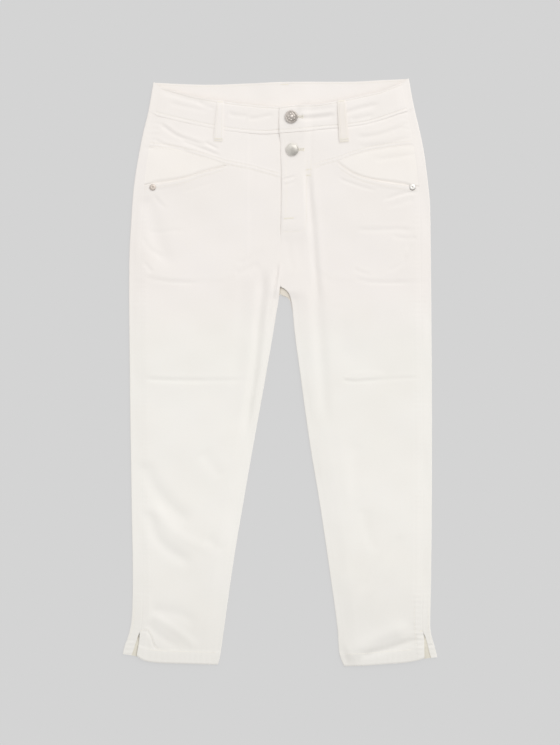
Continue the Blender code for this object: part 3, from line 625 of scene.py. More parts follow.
BAND_CREASES = rows_of(
    Crease,
    ("roll of the right waistband", ((-184, 428), (-156, 419), (-127.5, 411), (-99, 406)), 4.2, -0.75, 0.1),
    ("second roll", ((-168, 408), (-133.5, 400), (-100.5, 394)), 3.8, -0.4, 0.2),
    ("roll beside the right loop", ((-124, 409), (-112, 402), (-98, 399)), 3, -0.5, 0.1),
    ("dent in the right waistband", ((-78, 391), (-64, 388), (-48, 388)), 3.4, -0.6, 0.3),
    ("second dent", ((-50, 383), (-36, 384), (-22, 387), (-8, 389)), 3, -0.6, 0.3),
    ("pull from the buttonhole", ((26, 384), (42, 384.5), (64, 386.5), (86, 390)), 3.6, -1.1, 0.9),
    ("its run past the loop", ((84, 388), (98, 392), (114, 397), (134, 402), (150, 406)), 3.4, -0.9, 0.4),
    ("roll below it", ((104, 381), (122, 385), (142, 389)), 3.6, -0.6, 0.4),
    ("lifted edge above that pull", ((22, 405), (44, 407), (62, 408), (88, 411)), 6.5, 1.2),
)


# %% Shape a crease
LIGHT_FROM = (0.71, 0.71)
STEEPEST = 0.7
FADE_IN, FADE_OUT = 0.14, 0.78
RIDGE_OFF, RIDGE_WIDTH = 1.6, 1.2


def smooth_line(points, parts):
    """A smooth curve through the points, cut into that many parts between each two."""
    knots = np.array(points, float)
    steps = np.arange(len(knots))
    at = np.linspace(0, steps[-1], parts * steps[-1] + 1)
    return np.stack([curve(list(zip(steps, knots[:, k])), at) for k in (0, 1)], 1)


def beside_line(points, x, y):
    """How far each place is off the line, on which side (1 is its left) and at what share of its length."""
    line = smooth_line(points, 8)
    total = np.linalg.norm(np.diff(line, axis=0), axis=1).sum()
    off, way, share = (np.full(np.shape(x), value) for value in (1e9, 1.0, 0.0))
    done = 0
    for a, b in zip(line, line[1:]):
        step = b - a
        length = np.linalg.norm(step)
        t = np.clip(((x - a[0]) * step[0] + (y - a[1]) * step[1]) / length ** 2, 0, 1)
        dx, dy = x - a[0] - t * step[0], y - a[1] - t * step[1]
        here = np.hypot(dx, dy)
        nearer = here < off
        off = np.where(nearer, here, off)
        way = np.where(nearer, np.where(step[0] * dy - step[1] * dx < 0, -1.0, 1.0), way)
        share = np.where(nearer, (done + t * length) / total, share)
        done += length
    return off, way, share


def crease_height(creases, x, y):
    """What all the creases add at each place. Each fades out at its ends.

    The points of a crease run where it shows: along its wall on the side of the light, in LIGHT_FROM. Its
    bottom or crown lies farther from the light by STEEPEST of its width, less if it runs towards the light.
    """
    total = np.zeros(x.shape)
    for crease in creases:
        reach = 4 * crease.width
        points = np.array(crease.points)
        low, high = points.min(0) - reach, points.max(0) + reach
        near = (x > low[0]) & (x < high[0]) & (y > low[1]) & (y < high[1])
        if not near.any():
            continue
        off, way, share = beside_line(crease.points, x[near], y[near])
        run = points[-1] - points[0]
        lit = (run[0] * LIGHT_FROM[1] - run[1] * LIGHT_FROM[0]) / math.hypot(*run)
        off = off * way + STEEPEST * crease.width * min(1, max(-1, 1.6 * lit))
        beside = (off * np.sign(crease.ridge) - RIDGE_OFF * crease.width) / crease.width
        ridge = abs(crease.ridge * crease.rise)
        height = crease.rise * bell(off, crease.width) + ridge * bell(beside, RIDGE_WIDTH)
        total[near] += height * ease(0, FADE_IN, share) * (1 - ease(FADE_OUT, 1, share))
    return total


print(len(CREASES) + len(BAND_CREASES), "creases")

# %% [markdown]
# ## The height of the upper side
# Two layers of twill with air between them lie about 5 mm high on the legs and 6 mm at the waist. Into
# that height go the creases, a slow waviness that no laid cloth is without, and what shows through from
# below: the pocket bags lift the hips a little. Everything dies away towards the folded edges, where the
# cloth is pressed flatter.

# %% Work out the upper side
Height = namedtuple("Height", "y mm")
LOFT = rows_of(Height, (-439, 4.6), (-384, 5.0), (-12, 5.2), (130, 5.4), (300, 5.7), (390, 6.2), (439, 6.2))
FOLD_HEIGHTS = rows_of(Height, (-439, 3.3), (0, 3.7), (300, 4.2), (390, 4.7), (439, 4.9))
Wave = namedtuple("Wave", "length heading phase height")
WAVES = rows_of(Wave, (190, 20, 0.4, 0.3), (131, 75, 2.1, 0.25), (87, 140, 4.0, 0.2), (61, 50, 1.3, 0.12),
                (43, 105, 5.2, 0.07), (27, 165, 3.0, 0.035))
BAG_INNER, BAG_FOOT, BAG_CORNER = 46, 138, 45
BAG_LIFT = 0.3
CROTCH_LEVEL = 126
PRESSED_FLAT, PRESSED_SMOOTH = 30, 14


def fold_height(y):
    """How high the pressed fold at the outer edge stands."""
    return curve(FOLD_HEIGHTS, y)


def waviness(x, y):
    """A slow swell in several directions."""
    total = np.zeros(np.shape(x))
    for wave in WAVES:
        heading = math.radians(wave.heading)
        along = x * math.cos(heading) + y * math.sin(heading)
        total += wave.height * np.sin(2 * math.pi * along / wave.length + wave.phase)
    return total


def pocket_lift(x, y):
    """The rise over a pocket bag, with rounded corners towards the middle."""
    inside = np.abs(x) - BAG_INNER
    corner = np.hypot(np.minimum(inside - BAG_CORNER, 0), np.minimum(y - BAG_FOOT - BAG_CORNER, 0))
    return BAG_LIFT * (1 - ease(BAG_CORNER - 3, BAG_CORNER, corner)) * (inside > 0) * (y > BAG_FOOT)


def nearness(x, y, reach):
    """1 at an outer fold or an inner leg edge, and 0 from that reach inwards."""
    clear = np.ones(np.shape(x))
    for side in SIGN:
        gap = np.abs(outer_x(side, y) - x)
        inner = np.abs(x - front_end_x(side, y))
        legs = 1 - ease(CROTCH_LEVEL - 18, CROTCH_LEVEL, y)
        free = (1 - (1 - ease(1, reach, inner)) * legs) * ease(1, reach, gap)
        clear = np.where((x > 0) == (side == "left"), free, clear)
    return 1 - clear


def upper_z(x, y):
    """The upper side of the cloth, before anything laps over it."""
    relief = waviness(x, y) + crease_height(CREASES, x, y) + pocket_lift(x, y)
    loft = curve(LOFT, y)
    flat = loft - (loft - fold_height(y)) * nearness(x, y, PRESSED_FLAT)
    return flat + relief * (1 - nearness(x, y, PRESSED_SMOOTH))


print("loft at the waist", LOFT[-1].mm, "mm")

# %% [markdown]
# ## The lap and the seams
# The left front laps over the right one as far as the fly's curved line of stitches. A seam is a little
# valley between two rolled edges. Where the turnings are sewn down beside it, the cloth is three layers
# thick and stands up as far as the second row of stitches, and the stitches draw it in, so that it
# puckers along them.

# %% Shape the lap and the seams
FLY_FOOT, FLY_FULL = 192, 224
UNDERLAP_END = 33
LAP_EASE = 16
LAP_GAP = 0.15
GROOVE_WIDTH = 0.8
STEP_WIDTH = 2.2


def lap(x, y, wall):
    """How far the left side is lifted by the wall that it laps over."""
    over = 1 - ease(UNDERLAP_END, UNDERLAP_END + LAP_EASE, x)
    return (wall + LAP_GAP) * over * ease(FLY_FOOT, FLY_FULL, y)


def stitched_edge(off, run, lift, width, rows=(), pucker=0.0, pitch=6.5, roll=0.25, groove=0.22):
    """The relief beside a seam, at a distance off it and a distance run along it.

    The turnings lift the cloth as far as their width, the edge sinks by roll, each row of stitches lies in a
    groove, and the puckers between them are a pitch apart.
    """
    height = lift * (1 - ease(width, width + STEP_WIDTH, off)) - (lift + roll) * bell(off, GROOVE_WIDTH)
    for row in rows:
        height -= groove * bell(off - row, GROOVE_WIDTH)
    wobble = np.sin(2 * math.pi * run / pitch + 1.7 * np.sin(run / 23)) * (0.65 + 0.35 * np.sin(run / 11))
    return np.where(off >= -0.01, height + pucker * wobble * bell(off - width * 0.6, width * 0.75), 0)


# %% [markdown]
# ## Sheets of cloth
# Each piece starts as a flat grid, as the cloth did. Its points are then carried to their places, row by
# row, and a Solidify modifier gives it its wall, inwards from the outer face. A finer grid near the edges
# keeps the roll of a seam, and a coarser one serves in the open. The UV map keeps the flat measure of the
# cloth, so the weave runs over every fold without stretching.

# %% Make a sheet
PIECES = {}


def lay_cloth(name, x, y, z, wall, material, faces_up=True, inner_face=None):
    """A sheet through rows and columns of places. Its wall is on the inner side, which may take a second material,
    such as the twill's reverse with painted shade.
    """
    points = np.stack(np.broadcast_arrays(x, y, z), 2)
    rows, columns = points.shape[:2]
    grid = bmesh.new()
    bmesh.ops.create_grid(grid, x_segments=columns - 1, y_segments=rows - 1, size=0.5)
    for face in grid.faces:
        face.smooth = True
    for edge in grid.edges:
        edge.smooth = not edge.is_boundary
    mesh = as_mesh(name, grid)
    flat = np.empty(rows * columns * 3, np.float32)
    mesh.vertices.foreach_get("co", flat)
    flat = flat.reshape(-1, 3)
    order = np.lexsort((np.rint(flat[:, 0] * 1e5), np.rint(flat[:, 1] * 1e5)))
    placed = np.empty_like(flat)
    placed[order] = points.reshape(-1, 3) * MM
    mesh.vertices.foreach_set("co", placed.ravel())

    steps = np.linalg.norm(np.diff(points, axis=1), axis=2)
    way = np.sign(points[:, -1, 0] - points[:, 0, 0]).mean()
    middle = columns // 2
    run = np.concatenate((np.zeros((rows, 1)), np.cumsum(steps, 1)), 1)
    across = points[:, middle:middle + 1, 0] + way * (run - run[:, middle:middle + 1])
    measure = np.empty((rows * columns, 2))
    measure[order] = np.stack((across, points[:, :, 1]), 2).reshape(-1, 2) * MM
    corner = np.empty(len(mesh.loops), np.int32)
    mesh.loops.foreach_get("vertex_index", corner)
    mesh.uv_layers.new(name="cloth").data.foreach_set("uv", measure[corner].ravel())

    mesh.update()
    facing = sum(face.normal.z * face.area for face in mesh.polygons)
    if (facing > 0) != faces_up:
        mesh.flip_normals()
    mesh.materials.append(material)
    mesh.materials.append(inner_face or material)
    piece = put(name, mesh)
    thicken = piece.modifiers.new("wall", "SOLIDIFY")
    thicken.material_offset = 1
    thicken.thickness = wall * MM
    thicken.offset = -1
    thicken.use_even_offset = False
    PIECES[name] = piece
    area = sum(face.area for face in mesh.polygons)
    span = measure.max(0) - measure.min(0)
    piece["cut_width"], piece["cut_length"], piece["cut_area"] = *span, area
    print(f"{name}: {rows} rows, {columns} columns, {area * 1e4:.0f} square cm of cloth")


# %% [markdown]
# Down a piece, rows either follow an edge, part the way evenly from one edge to another, or lie level.


# %% Space the rows
def spaced(start, end, step):
    """Numbers from start to end, evenly, about a step apart."""
    return np.linspace(start, end, max(2, round(abs(end - start) / step) + 1))


def between(start, end, parts):
    """Rows that part the way from one row to another evenly, without the first of them."""
    return [start + part * (end - start) for part in np.linspace(0, 1, parts + 1)[1:]]


def level_rows(columns, stretches):
    """Level rows down through each stretch (from y, to y, step), without the first of each."""
    return [np.full(columns, y) for start, end, step in stretches for y in spaced(start, end, step)[1:]]


# %% [markdown]
# ## The two fronts
# A front runs from the pocket mouth and the yoke seam down to the hem. Its outer edge is the side seam,
# and at the inner leg it turns down through a quarter round to meet the back. The hem is turned up once
# and sewn 18.5 mm above its fold, so that part is two layers thick. The fly facing inside the left front
# reaches as far as the curved line of stitches, and it shows as a low step.

# %% Set the grid of a front
WALL = 1.0
NEAR_EDGE = np.array((0, 0.4, 1, 1.8, 2.8, 4.2, 6, 8, 10.5))
NEAR_MIDDLE = np.array((9, 6.5, 4.5, 3, 1.6, 0.8, 0))
NEAR_TOP = np.array((0, 0.4, 0.9, 1.5, 2.1, 2.8, 3.8, 5, 6, 7, 8.2, 9.8, 12))
NEAR_HEM = np.array((26, 23, 21, 19.6, 18.5, 17.4, 15.8, 14, 12, 10, 8, 6, 4.5, 3.2, 2.2, 1, 0.4, 0))
HIP_WIDTH = 205
ACROSS_STEP, ALONG_STEP = 2.2, 2.4
FAN_FOOT = 150
CROTCH_TOP, CROTCH_FOOT = 134, 100
# The columns of a front: shares of the way across, closer together by the side seam and by the middle.
SHARES = np.concatenate((NEAR_EDGE, spaced(NEAR_EDGE[-1], HIP_WIDTH - 11, ACROSS_STEP)[1:],
                         HIP_WIDTH - NEAR_MIDDLE)) / HIP_WIDTH
# A pressed edge is squarer than a round one, so both parts of its turn are raised to a power below 1.
SQUARENESS = 0.6
INNER_TURN = np.radians((15, 35, 55, 70, 80, 86))
TURN_OUT = np.sin(INNER_TURN) ** SQUARENESS / math.sin(INNER_TURN[-1]) ** SQUARENESS
TURN_DROP = 1 - np.cos(INNER_TURN) ** SQUARENESS
FRONT_COLUMNS = len(SHARES) + len(INNER_TURN)


def front_x(side, y):
    """x of every column of a front at its y. The last ones go round the turn at the inner edge."""
    start, end = front_lip_x(side, y), front_end_x(side, y)
    turn_start = end + SIGN[side] * fold_height(y) / 2
    share = np.concatenate((SHARES, np.ones(len(INNER_TURN))))
    turn = np.concatenate((np.zeros(len(SHARES)), TURN_OUT))
    return start + share * (turn_start - start) + turn * (end - turn_start)


def front_meets(side, table):
    """The height at which every column of a front crosses a seam."""
    return meet(lambda y: front_x(side, y), table, side, FRONT_COLUMNS)


print(FRONT_COLUMNS, "columns in a front")

# %% Shape the seams of a front
HEM_DEPTH = 18.5
SEAM_ROWS = (1.6, 6.6)
INSEAM_RIDGE = 6.5
FLY_STITCHES = ((40, 345), (39.5, 300), (39, 262), (39, 236), (38, 222), (33.5, 214), (25, 212), (14, 212),
                (3, 212))
FLY_ROW_GAP, FLY_EDGE_ROW = 6, 8
FLY_STEP = 0.1
FLY_TOP = 320
FLY_GROOVE, FLY_EDGE_GROOVE = 0.42, 0.15
# Where the parts of the fly set in, from y to y: its step, the curved row, the row beside it, the edge row.
STEP_FROM, CURVE_FROM, SECOND_FROM, EDGE_ROW_FROM = (204, 212), (206, 211), (294, 298), (228, 236)
PRESSED_SHARE, PRESSED_FROM, PRESSED_TO = 0.9, (6, 12), (54, 64)
# How far down the seam gives way to the slit, and how far out a mouth's edge grows thick and fades again.
SLIT_FROM = (326, 340)
MOUTH_THICK, MOUTH_FADE, MOUTH_FADED = (110, 165), (186, 204), 0.85


def side_relief(within, y, pucker=0.1):
    """Beside the side seam, and below it beside the slit, whose turning is wider and sewn down."""
    seam = stitched_edge(within, y, 0.1, 9, pucker=0.08, pitch=7.5, roll=-0.06)
    slit = stitched_edge(within, y, 0.3, 12, rows=(12,), pucker=pucker, pitch=7.5, roll=-0.15)
    low = ease(*SLIT_FROM, -y)
    return seam * (1 - low) + slit * low


def fly_relief(side, x, y):
    """The rolled edge of the lap, the step at its facing, and the grooves of its stitches."""
    if side == "right":
        edge = np.where(y > FRONT_CROTCH, stitched_edge(-x, y, 0, 3, pucker=0.04, roll=0.06), 0)
        return edge - 0.5 * ease(0, 1, x)
    off, way, _ = beside_line(FLY_STITCHES, x, y)
    from_edge = x - front_end_x("left", y)
    on_fly = (y > FRONT_CROTCH) * (1 - ease(FLY_TOP, FLY_TOP + 10, y))
    step = FLY_STEP * ease(*STEP_FROM, y) * ease(-1.5, 1.5, -off * way)
    grooves = FLY_GROOVE * ease(*CURVE_FROM, y) * bell(off, GROOVE_WIDTH)
    grooves += FLY_GROOVE * ease(*SECOND_FROM, y) * bell(off * way - FLY_ROW_GAP, GROOVE_WIDTH)
    grooves += FLY_EDGE_GROOVE * ease(*EDGE_ROW_FROM, y) * bell(from_edge - FLY_EDGE_ROW, GROOVE_WIDTH)
    return on_fly * (step - grooves) - 0.5 * ease(FLY_FOOT, FLY_FULL, y) * bell(from_edge, 1.4)


def pressed(side, x):
    """Near 1 where the fly facing, sewn down behind it, keeps the yoke seam of the left side flat."""
    if side == "right":
        return 0 * x
    return PRESSED_SHARE * ease(*PRESSED_FROM, x) * (1 - ease(*PRESSED_TO, x))


def front_relief(side, x, y):
    """Seams, hem and stitched edges of a front."""
    from_middle = np.abs(x)
    relief = side_relief((front_lip_x(side, y) - x) * SIGN[side], y, 0.3 if side == "left" else 0.06)
    mouth, seam = (crossing_y(table, side, x) - y for table in (POCKET_MOUTH, YOKE_SEAM))
    outer = ease(*MOUTH_THICK, from_middle)
    below_mouth = stitched_edge(mouth, x, 0.1 + 0.35 * outer, 7, SEAM_ROWS, 0.08, roll=0.06 + 0.12 * outer)
    below_mouth *= 1 - MOUTH_FADED * ease(*MOUTH_FADE, from_middle)
    below_seam = stitched_edge(seam, x, 0, 3, pucker=0.1, roll=0.08) * (1 - pressed(side, x))
    relief += np.where((x - MOUTH_TOP[side]) * SIGN[side] > 0, below_mouth, below_seam)
    relief += stitched_edge(y - crossing_y(HEM_FRONT, side, x), x, 0.5, HEM_DEPTH, (HEM_DEPTH,), 0.07, 9)
    inner = np.abs(x - front_end_x(side, y))
    inseam = 0.05 * np.sin(y) * bell(inner - INSEAM_RIDGE, 3) - 0.07 * bell(inner - INSEAM_RIDGE, 0.9)
    if side == "left":
        inseam -= 0.5 * bell(inner, 6) * ease(20, 120, -y)
    return relief + np.where(y < FRONT_CROTCH - 4, inseam, 0) + fly_relief(side, x, y)


print("hems", HEM_DEPTH, "mm deep")


# %% Lay the fronts
def front_panel(side):
    """A front, row by row from its top down to the hem."""
    mouth, seam = (front_meets(side, table) for table in (POCKET_MOUTH, YOKE_SEAM))
    top = np.where((front_x(side, seam) - MOUTH_TOP[side]) * SIGN[side] > 0, mouth, seam)
    hem = front_meets(side, HEM_FRONT)
    rows = [top - off for off in NEAR_TOP]
    rows += between(rows[-1], FAN_FOOT, 54)
    rows += level_rows(FRONT_COLUMNS, ((FAN_FOOT, CROTCH_TOP, 3), (CROTCH_TOP, CROTCH_FOOT, 1.4),
                                       (CROTCH_FOOT, SLIT_TOP, ALONG_STEP)))
    rows += between(SLIT_TOP, hem + NEAR_HEM[0], 11)
    rows += [hem + off for off in NEAR_HEM[1:]]
    x, y = np.stack([front_x(side, row) for row in rows]), np.stack(rows)
    z = upper_z(x, y) + front_relief(side, x, y) + (lap(x, y, WALL) if side == "left" else 0)
    turned_y = y[:, len(SHARES):]
    z[:, len(SHARES):] -= closing(turned_y, FRONT_CROTCH) * fold_height(turned_y) / 2 * TURN_DROP
    lay_cloth(f"front_{side}_cloth", x, y, z, WALL, TWILL, inner_face=REVERSE_WITH_PAINTED_SHADE)


for side in SIGN:
    front_panel(side)

# %% [markdown]
# ## The yokes
# A yoke fills the space between the waistband and the front, deep at the middle and shallow at the side.
# Its lower seam is turned up and sewn down with two rows of stitches, so it stands a little proud.

# %% Lay the yokes
BAND_WALL = 1.8
ABOVE_SEAM = np.array((0, 0.4, 0.9, 1.5, 2.1, 2.8, 3.8, 5, 6, 6.8, 7.6, 8.8, 10.4))
BELOW_BAND = np.array((6, 4, 2.6, 1.6, 0.9, 0.4, 0))


def yoke_relief(side, x, y):
    """The proud lower seam, the valley under the waistband, the side seam and the fly."""
    above = y - crossing_y(YOKE_SEAM, side, x)
    below = crossing_y(WAIST_SEAM_FRONT, side, x) - y
    lift = 0.2 - 0.12 * ease(78, 95, np.abs(x))
    deep = ease(40, 62, x)
    relief = stitched_edge(above, x, lift, 8, SEAM_ROWS, 0.12, 6, roll=0) * (1 - pressed(side, x))
    relief -= (0.2 + 0.35 * deep) * bell(below, 1.1 + 0.9 * deep)
    return relief + side_relief((front_lip_x(side, y) - x) * SIGN[side], y) + fly_relief(side, x, y)


def yoke(side):
    """A yoke, row by row from its lower seam up to the waistband."""
    low, high = (front_meets(side, table) for table in (YOKE_SEAM, WAIST_SEAM_FRONT))
    rows = [low + off for off in ABOVE_SEAM]
    rows += between(rows[-1], high - BELOW_BAND[0], 26)
    rows += [high - off for off in BELOW_BAND[1:]]
    x, y = np.stack([front_x(side, row) for row in rows]), np.stack(rows)
    z = upper_z(x, y) + yoke_relief(side, x, y)
    if side == "left":
        z += lap(x, y, WALL + (BAND_WALL - WALL) * (1 - ease(0, 18, high - y)))
    lay_cloth(f"yoke_{side}_cloth", x, y, z, WALL, TWILL)


for side in SIGN:
    yoke(side)

# %% [markdown]
# ## The waistband
# The waistband is a doubled strip, stiffer than the rest. Its front halves lie on the yokes, the left one
# over the right one. Its back half lies on the table and turns up round both ends as far as the side
# seams, so its inner face shows above the front edge.

# %% Shape the waistband
BAND_LOFT, BAND_FOLD_HEIGHT = 6.6, 4.9
BAND_ROWS = np.array((0, 0.4, 0.9, 1.6, 2.6, 3.8, 4.8, 5.8, 7))
BAND_TOP = np.array((7, 5.5, 4, 3, 2.2, 1.5, 0.9, 0.4, 0))
BAND_STITCH, BAND_TOP_STITCH = 4.8, 2.6
GAPE = 1.4
FLAP_DIP = 0.8


def band_levels(low, high):
    """Heights from the lower to the upper edge of the waistband, for each column: rows by columns."""
    rows = [low + off for off in BAND_ROWS]
    rows += between(rows[-1], high - BAND_TOP[0], 14)
    return np.stack(rows + [high - off for off in BAND_TOP[1:]])


def band_end(side):
    """The ends of the waistband pieces on the side seam: x and y for each row."""
    low, high = (meet(lambda y: side_seam_x(side, y), table, side, 1)
                 for table in (WAIST_SEAM_FRONT, WAIST_EDGE_FRONT))
    y = band_levels(low, high)[:, 0]
    return side_seam_x(side, y), y


def band_relief(side, x, y, low, high):
    """Rolled edges with their rows of stitches."""
    deep = ease(40, 62, x)
    relief = stitched_edge(y - low, x, 0, 3, (BAND_STITCH,), 0.05, 8, 0.1 + 0.3 * deep, 0.3 + 0.3 * deep)
    relief += stitched_edge(high - y, x, 0, 3, (BAND_TOP_STITCH,), 0.05, 9, groove=0.4)
    off = (side_seam_x(side, y) - x) * SIGN[side]
    return relief + np.where(off > 0, stitched_edge(off, y, 0.08, 7, pucker=0.06, roll=-0.06), 0)


def band_z(x, y):
    """The outer face of the waistband, pressed flat at its folds."""
    edge = nearness(x, y, 26)
    relief = 0.5 * waviness(x, y) + crease_height(BAND_CREASES, x, y)
    return BAND_LOFT - (BAND_LOFT - BAND_FOLD_HEIGHT) * edge + relief * (1 - edge)


print("waistband", BAND_WALL, "mm thick, at", BAND_LOFT, "mm")


# %% Lay the front halves of the waistband
def band_front(side):
    """A front half, from the side seam to the fly. It gapes along its upper edge."""
    end_x, _ = band_end(side)
    xs = front_x(side, front_meets(side, WAIST_SEAM_FRONT))[1:]
    if side == "right":
        xs = np.concatenate((xs, spaced(xs[-1], UNDERLAP_END, 2.5)[1:]))
    lean = (end_x - end_x[0])[:, None] * (1 - ease(0, 26, np.abs(xs - xs[0])))
    x = np.concatenate((end_x[:, None], xs + lean), 1)
    y = band_levels(crossing_y(WAIST_SEAM_FRONT, side, x[0]), crossing_y(WAIST_EDGE_FRONT, side, x[-1]))
    low, high = (crossing_y(table, side, x) for table in (WAIST_SEAM_FRONT, WAIST_EDGE_FRONT))
    up = (y - low) / (high - low)
    from_end = (end_x[:, None] - x) * SIGN[side]
    z = band_z(x, y) + band_relief(side, x, y, low, high)
    z += GAPE * ease(0, 1, up) * (1 - nearness(x, y, 60)) * ease(0, 12, from_end)
    if side == "left":
        from_edge = x - front_end_x("left", y)
        z += lap(x, y, BAND_WALL)
        z -= 0.8 * bell(from_edge, 1.6) + FLAP_DIP * ease(0.3, 0.7, up) * bell(from_edge, 7)
    lay_cloth(f"waistband_front_{side}_cloth", x, y, z, BAND_WALL, TWILL)


for side in SIGN:
    band_front(side)

# %% Lay the back half
BACK_LOOP = (4, 435, 394)
LOOP_WIDTH = 15
LOOP_WALL = 1.4
LAYER_GAP = 0.4
OUTER_TURN = np.radians((90, 75, 58, 42, 28, 14, 0, -14, -28, -42, -58, -75, -90))
FOLD_OUT = np.cos(OUTER_TURN) ** SQUARENESS
FOLD_UP = np.sign(OUTER_TURN) * np.abs(np.sin(OUTER_TURN)) ** SQUARENESS
BAND_STRIP = np.array((0, 0.05, 0.12, 0.25, 0.45, 0.7))


def band_turn(side):
    """Where the back half runs on the upper side and round the fold: rows by columns by x, y and z."""
    lip_x, lip_y = band_end(side)
    at = outer_x(side, lip_y)
    y = band_levels(crossing_y(WAIST_SEAM_BACK, side, at[:1]), crossing_y(WAIST_EDGE_BACK, side, at[-1:]))
    radius = BAND_FOLD_HEIGHT / 2
    fold_x = outer_x(side, y) - SIGN[side] * radius * (1 - FOLD_OUT)
    fold_y, fold_z = y + 0 * fold_x, radius * (1 + FOLD_UP) + 0 * fold_x
    strip_x = lip_x[:, None] + BAND_STRIP * (fold_x[:, :1] - lip_x[:, None])
    strip_y = lip_y[:, None] + BAND_STRIP * (y - lip_y[:, None])
    strip_z = band_z(strip_x, strip_y) - 0.3 * bell(strip_y - strip_y[0], GROOVE_WIDTH)
    pairs = ((strip_x, fold_x), (strip_y, fold_y), (strip_z, fold_z))
    return np.stack([np.concatenate(pair, 1) for pair in pairs], 2)


def band_back():
    """The back half, row by row from one side seam to the other."""
    x = spaced(-186, 186, 3)
    low, high = (np.where(x > 0, crossing_y(table, "left", x), crossing_y(table, "right", x))
                 for table in (WAIST_SEAM_BACK, WAIST_EDGE_BACK))
    y = band_levels(low, high)
    over_loop = (LOOP_WALL + LAYER_GAP) * (1 - ease(4, 48, np.abs(x - BACK_LOOP[0]) - LOOP_WIDTH / 2))
    uneven = 0.12 + 0.1 * np.sin(x / 21) + 0.08 * np.sin(x / 8.3 + y / 9)
    z = np.maximum(over_loop + uneven * ease(0, 3, over_loop + 3), 0)
    flat = np.stack(np.broadcast_arrays(x, y, z), 2)
    points = np.concatenate((band_turn("right"), flat, band_turn("left")[:, ::-1]), 1)
    lay_cloth("waistband_back_cloth", *np.moveaxis(points, 2, 0), BAND_WALL, TWILL, faces_up=False)


band_back()

# %% [markdown]
# ## The two backs
# A back lies flat on the table and turns up round the outer fold as far as the side seam, so it is all in
# one piece and the fold is whole cloth. Its seat seam runs up the middle of the underside.

# %% Shape the backs
UNDER_CREASES = rows_of(
    Crease,
    ("seat drag, right", ((-20, 300), (-60, 250), (-110, 215)), 9, 0.6),
    ("seat drag, left", ((24, 290), (70, 246), (120, 216)), 9, 0.55),
    ("thigh drag, right", ((-16, 140), (-34, 70), (-48, -20)), 8, 0.5),
    ("thigh drag, left", ((30, 130), (48, 50), (60, -40)), 9, 0.55),
    ("knee fold, right", ((-200, -4), (-120, -8), (-40, -6)), 5, 0.4),
    ("knee fold, left", ((60, -8), (130, -6), (208, -4)), 5, 0.45),
    ("calf drag, right", ((-190, -150), (-140, -230), (-96, -300)), 12, 0.5),
    ("calf drag, left", ((190, -140), (150, -220), (110, -310)), 12, 0.5),
    ("hem drag, right", ((-200, -370), (-150, -398), (-110, -420)), 8, 0.5),
    ("hem drag, left", ((110, -410), (150, -390), (200, -376)), 8, 0.55),
)
STRIP_SHARES = np.array((0, 0.04, 0.09, 0.16, 0.25, 0.38, 0.54, 0.72, 0.88))
FLAT_SHARES = np.concatenate((spaced(0, 1, 1 / 40)[1:-1], (0.99, 1)))
# Columns run along the strip on the upper side, round the fold, across the flat and round the inner turn.
BACK_CUTS = np.cumsum((len(STRIP_SHARES), len(OUTER_TURN), len(FLAT_SHARES)))
BACK_COLUMNS = BACK_CUTS[-1] + len(INNER_TURN)
SHOULDER, SHIN = 340, -370
HEM_ROW = 0.2
# The flat part is smooth near the fold and the middle, over these distances, and at the hem, from y to y.
SMOOTH_AT_FOLD, SMOOTH_AT_MIDDLE, SMOOTH_AT_HEM = (0, 20), (0, 12), (-428, -408)
# Beside the slit it is lifted in a band: how high, how far from the fold its two sides lie, and how far down
# it begins.
SLIT_RISE, SLIT_OUTER, SLIT_INNER, SLIT_BELOW = 2.1, (2, 9), (17, 27), (387, 404)
CROTCH_RISE, CROTCH_AT, CROTCH_REACH = 2.3, (6, 121), 14


def crotch_rise(x, y):
    """Where the four leg seams meet, the back is drawn up to the front."""
    return CROTCH_RISE * bell(np.hypot(x - CROTCH_AT[0], y - CROTCH_AT[1]), CROTCH_REACH)


def underside_z(x, y, from_fold, to_middle):
    """The flat part of a back: creases that only rise, and a lift by the slit and at the crotch."""
    free = ease(*SMOOTH_AT_FOLD, from_fold) * ease(*SMOOTH_AT_MIDDLE, to_middle)
    z = 0.15 + 0.5 * waviness(x + 37, y - 51) + crease_height(UNDER_CREASES, x, y)
    z = np.maximum(0, z) * free * ease(*SMOOTH_AT_HEM, y)
    z += SLIT_RISE * ease(*SLIT_OUTER, from_fold) * (1 - ease(*SLIT_INNER, from_fold)) * ease(*SLIT_BELOW, -y)
    return z + crotch_rise(x, y)


def back_points(side, y):
    """x and z of every column of a back at its y, from the side seam to the middle."""
    sign = SIGN[side]
    radius = fold_height(y) / 2
    strip_y, fold_y, flat_y, turn_y = np.split(y, BACK_CUTS)
    strip_radius, fold_radius, flat_radius, turn_radius = np.split(radius, BACK_CUTS)
    lip = back_lip_x(side, strip_y)
    strip_x = lip + STRIP_SHARES * (outer_x(side, strip_y) - sign * strip_radius - lip)
    strip_z = upper_z(strip_x, strip_y) + side_relief(np.abs(strip_x - lip), strip_y, 0.35)
    fold_x = outer_x(side, fold_y) - sign * fold_radius * (1 - FOLD_OUT)
    fold_z = fold_radius * (1 + FOLD_UP)
    start = outer_x(side, flat_y) - sign * flat_radius
    end = back_end_x(side, flat_y) + sign * flat_radius
    flat_x = start + FLAT_SHARES * (end - start)
    flat_z = underside_z(flat_x, flat_y, np.abs(flat_x - start), np.abs(end - flat_x))
    turn_x = back_end_x(side, turn_y) + sign * turn_radius * (1 - TURN_OUT)
    turned = closing(turn_y, BACK_CROTCH) * TURN_DROP
    turn_z = turn_radius * turned + crotch_rise(turn_x, turn_y) * (1 - turned)
    x = np.concatenate((strip_x, fold_x, flat_x, turn_x))
    z = np.concatenate((strip_z, fold_z, flat_z, turn_z))
    row = HEM_ROW * bell(y - crossing_y(HEM_BACK, side, x) - HEM_DEPTH, GROOVE_WIDTH)
    return x, z + np.where(np.arange(len(x)) >= BACK_CUTS[1], row, -row)


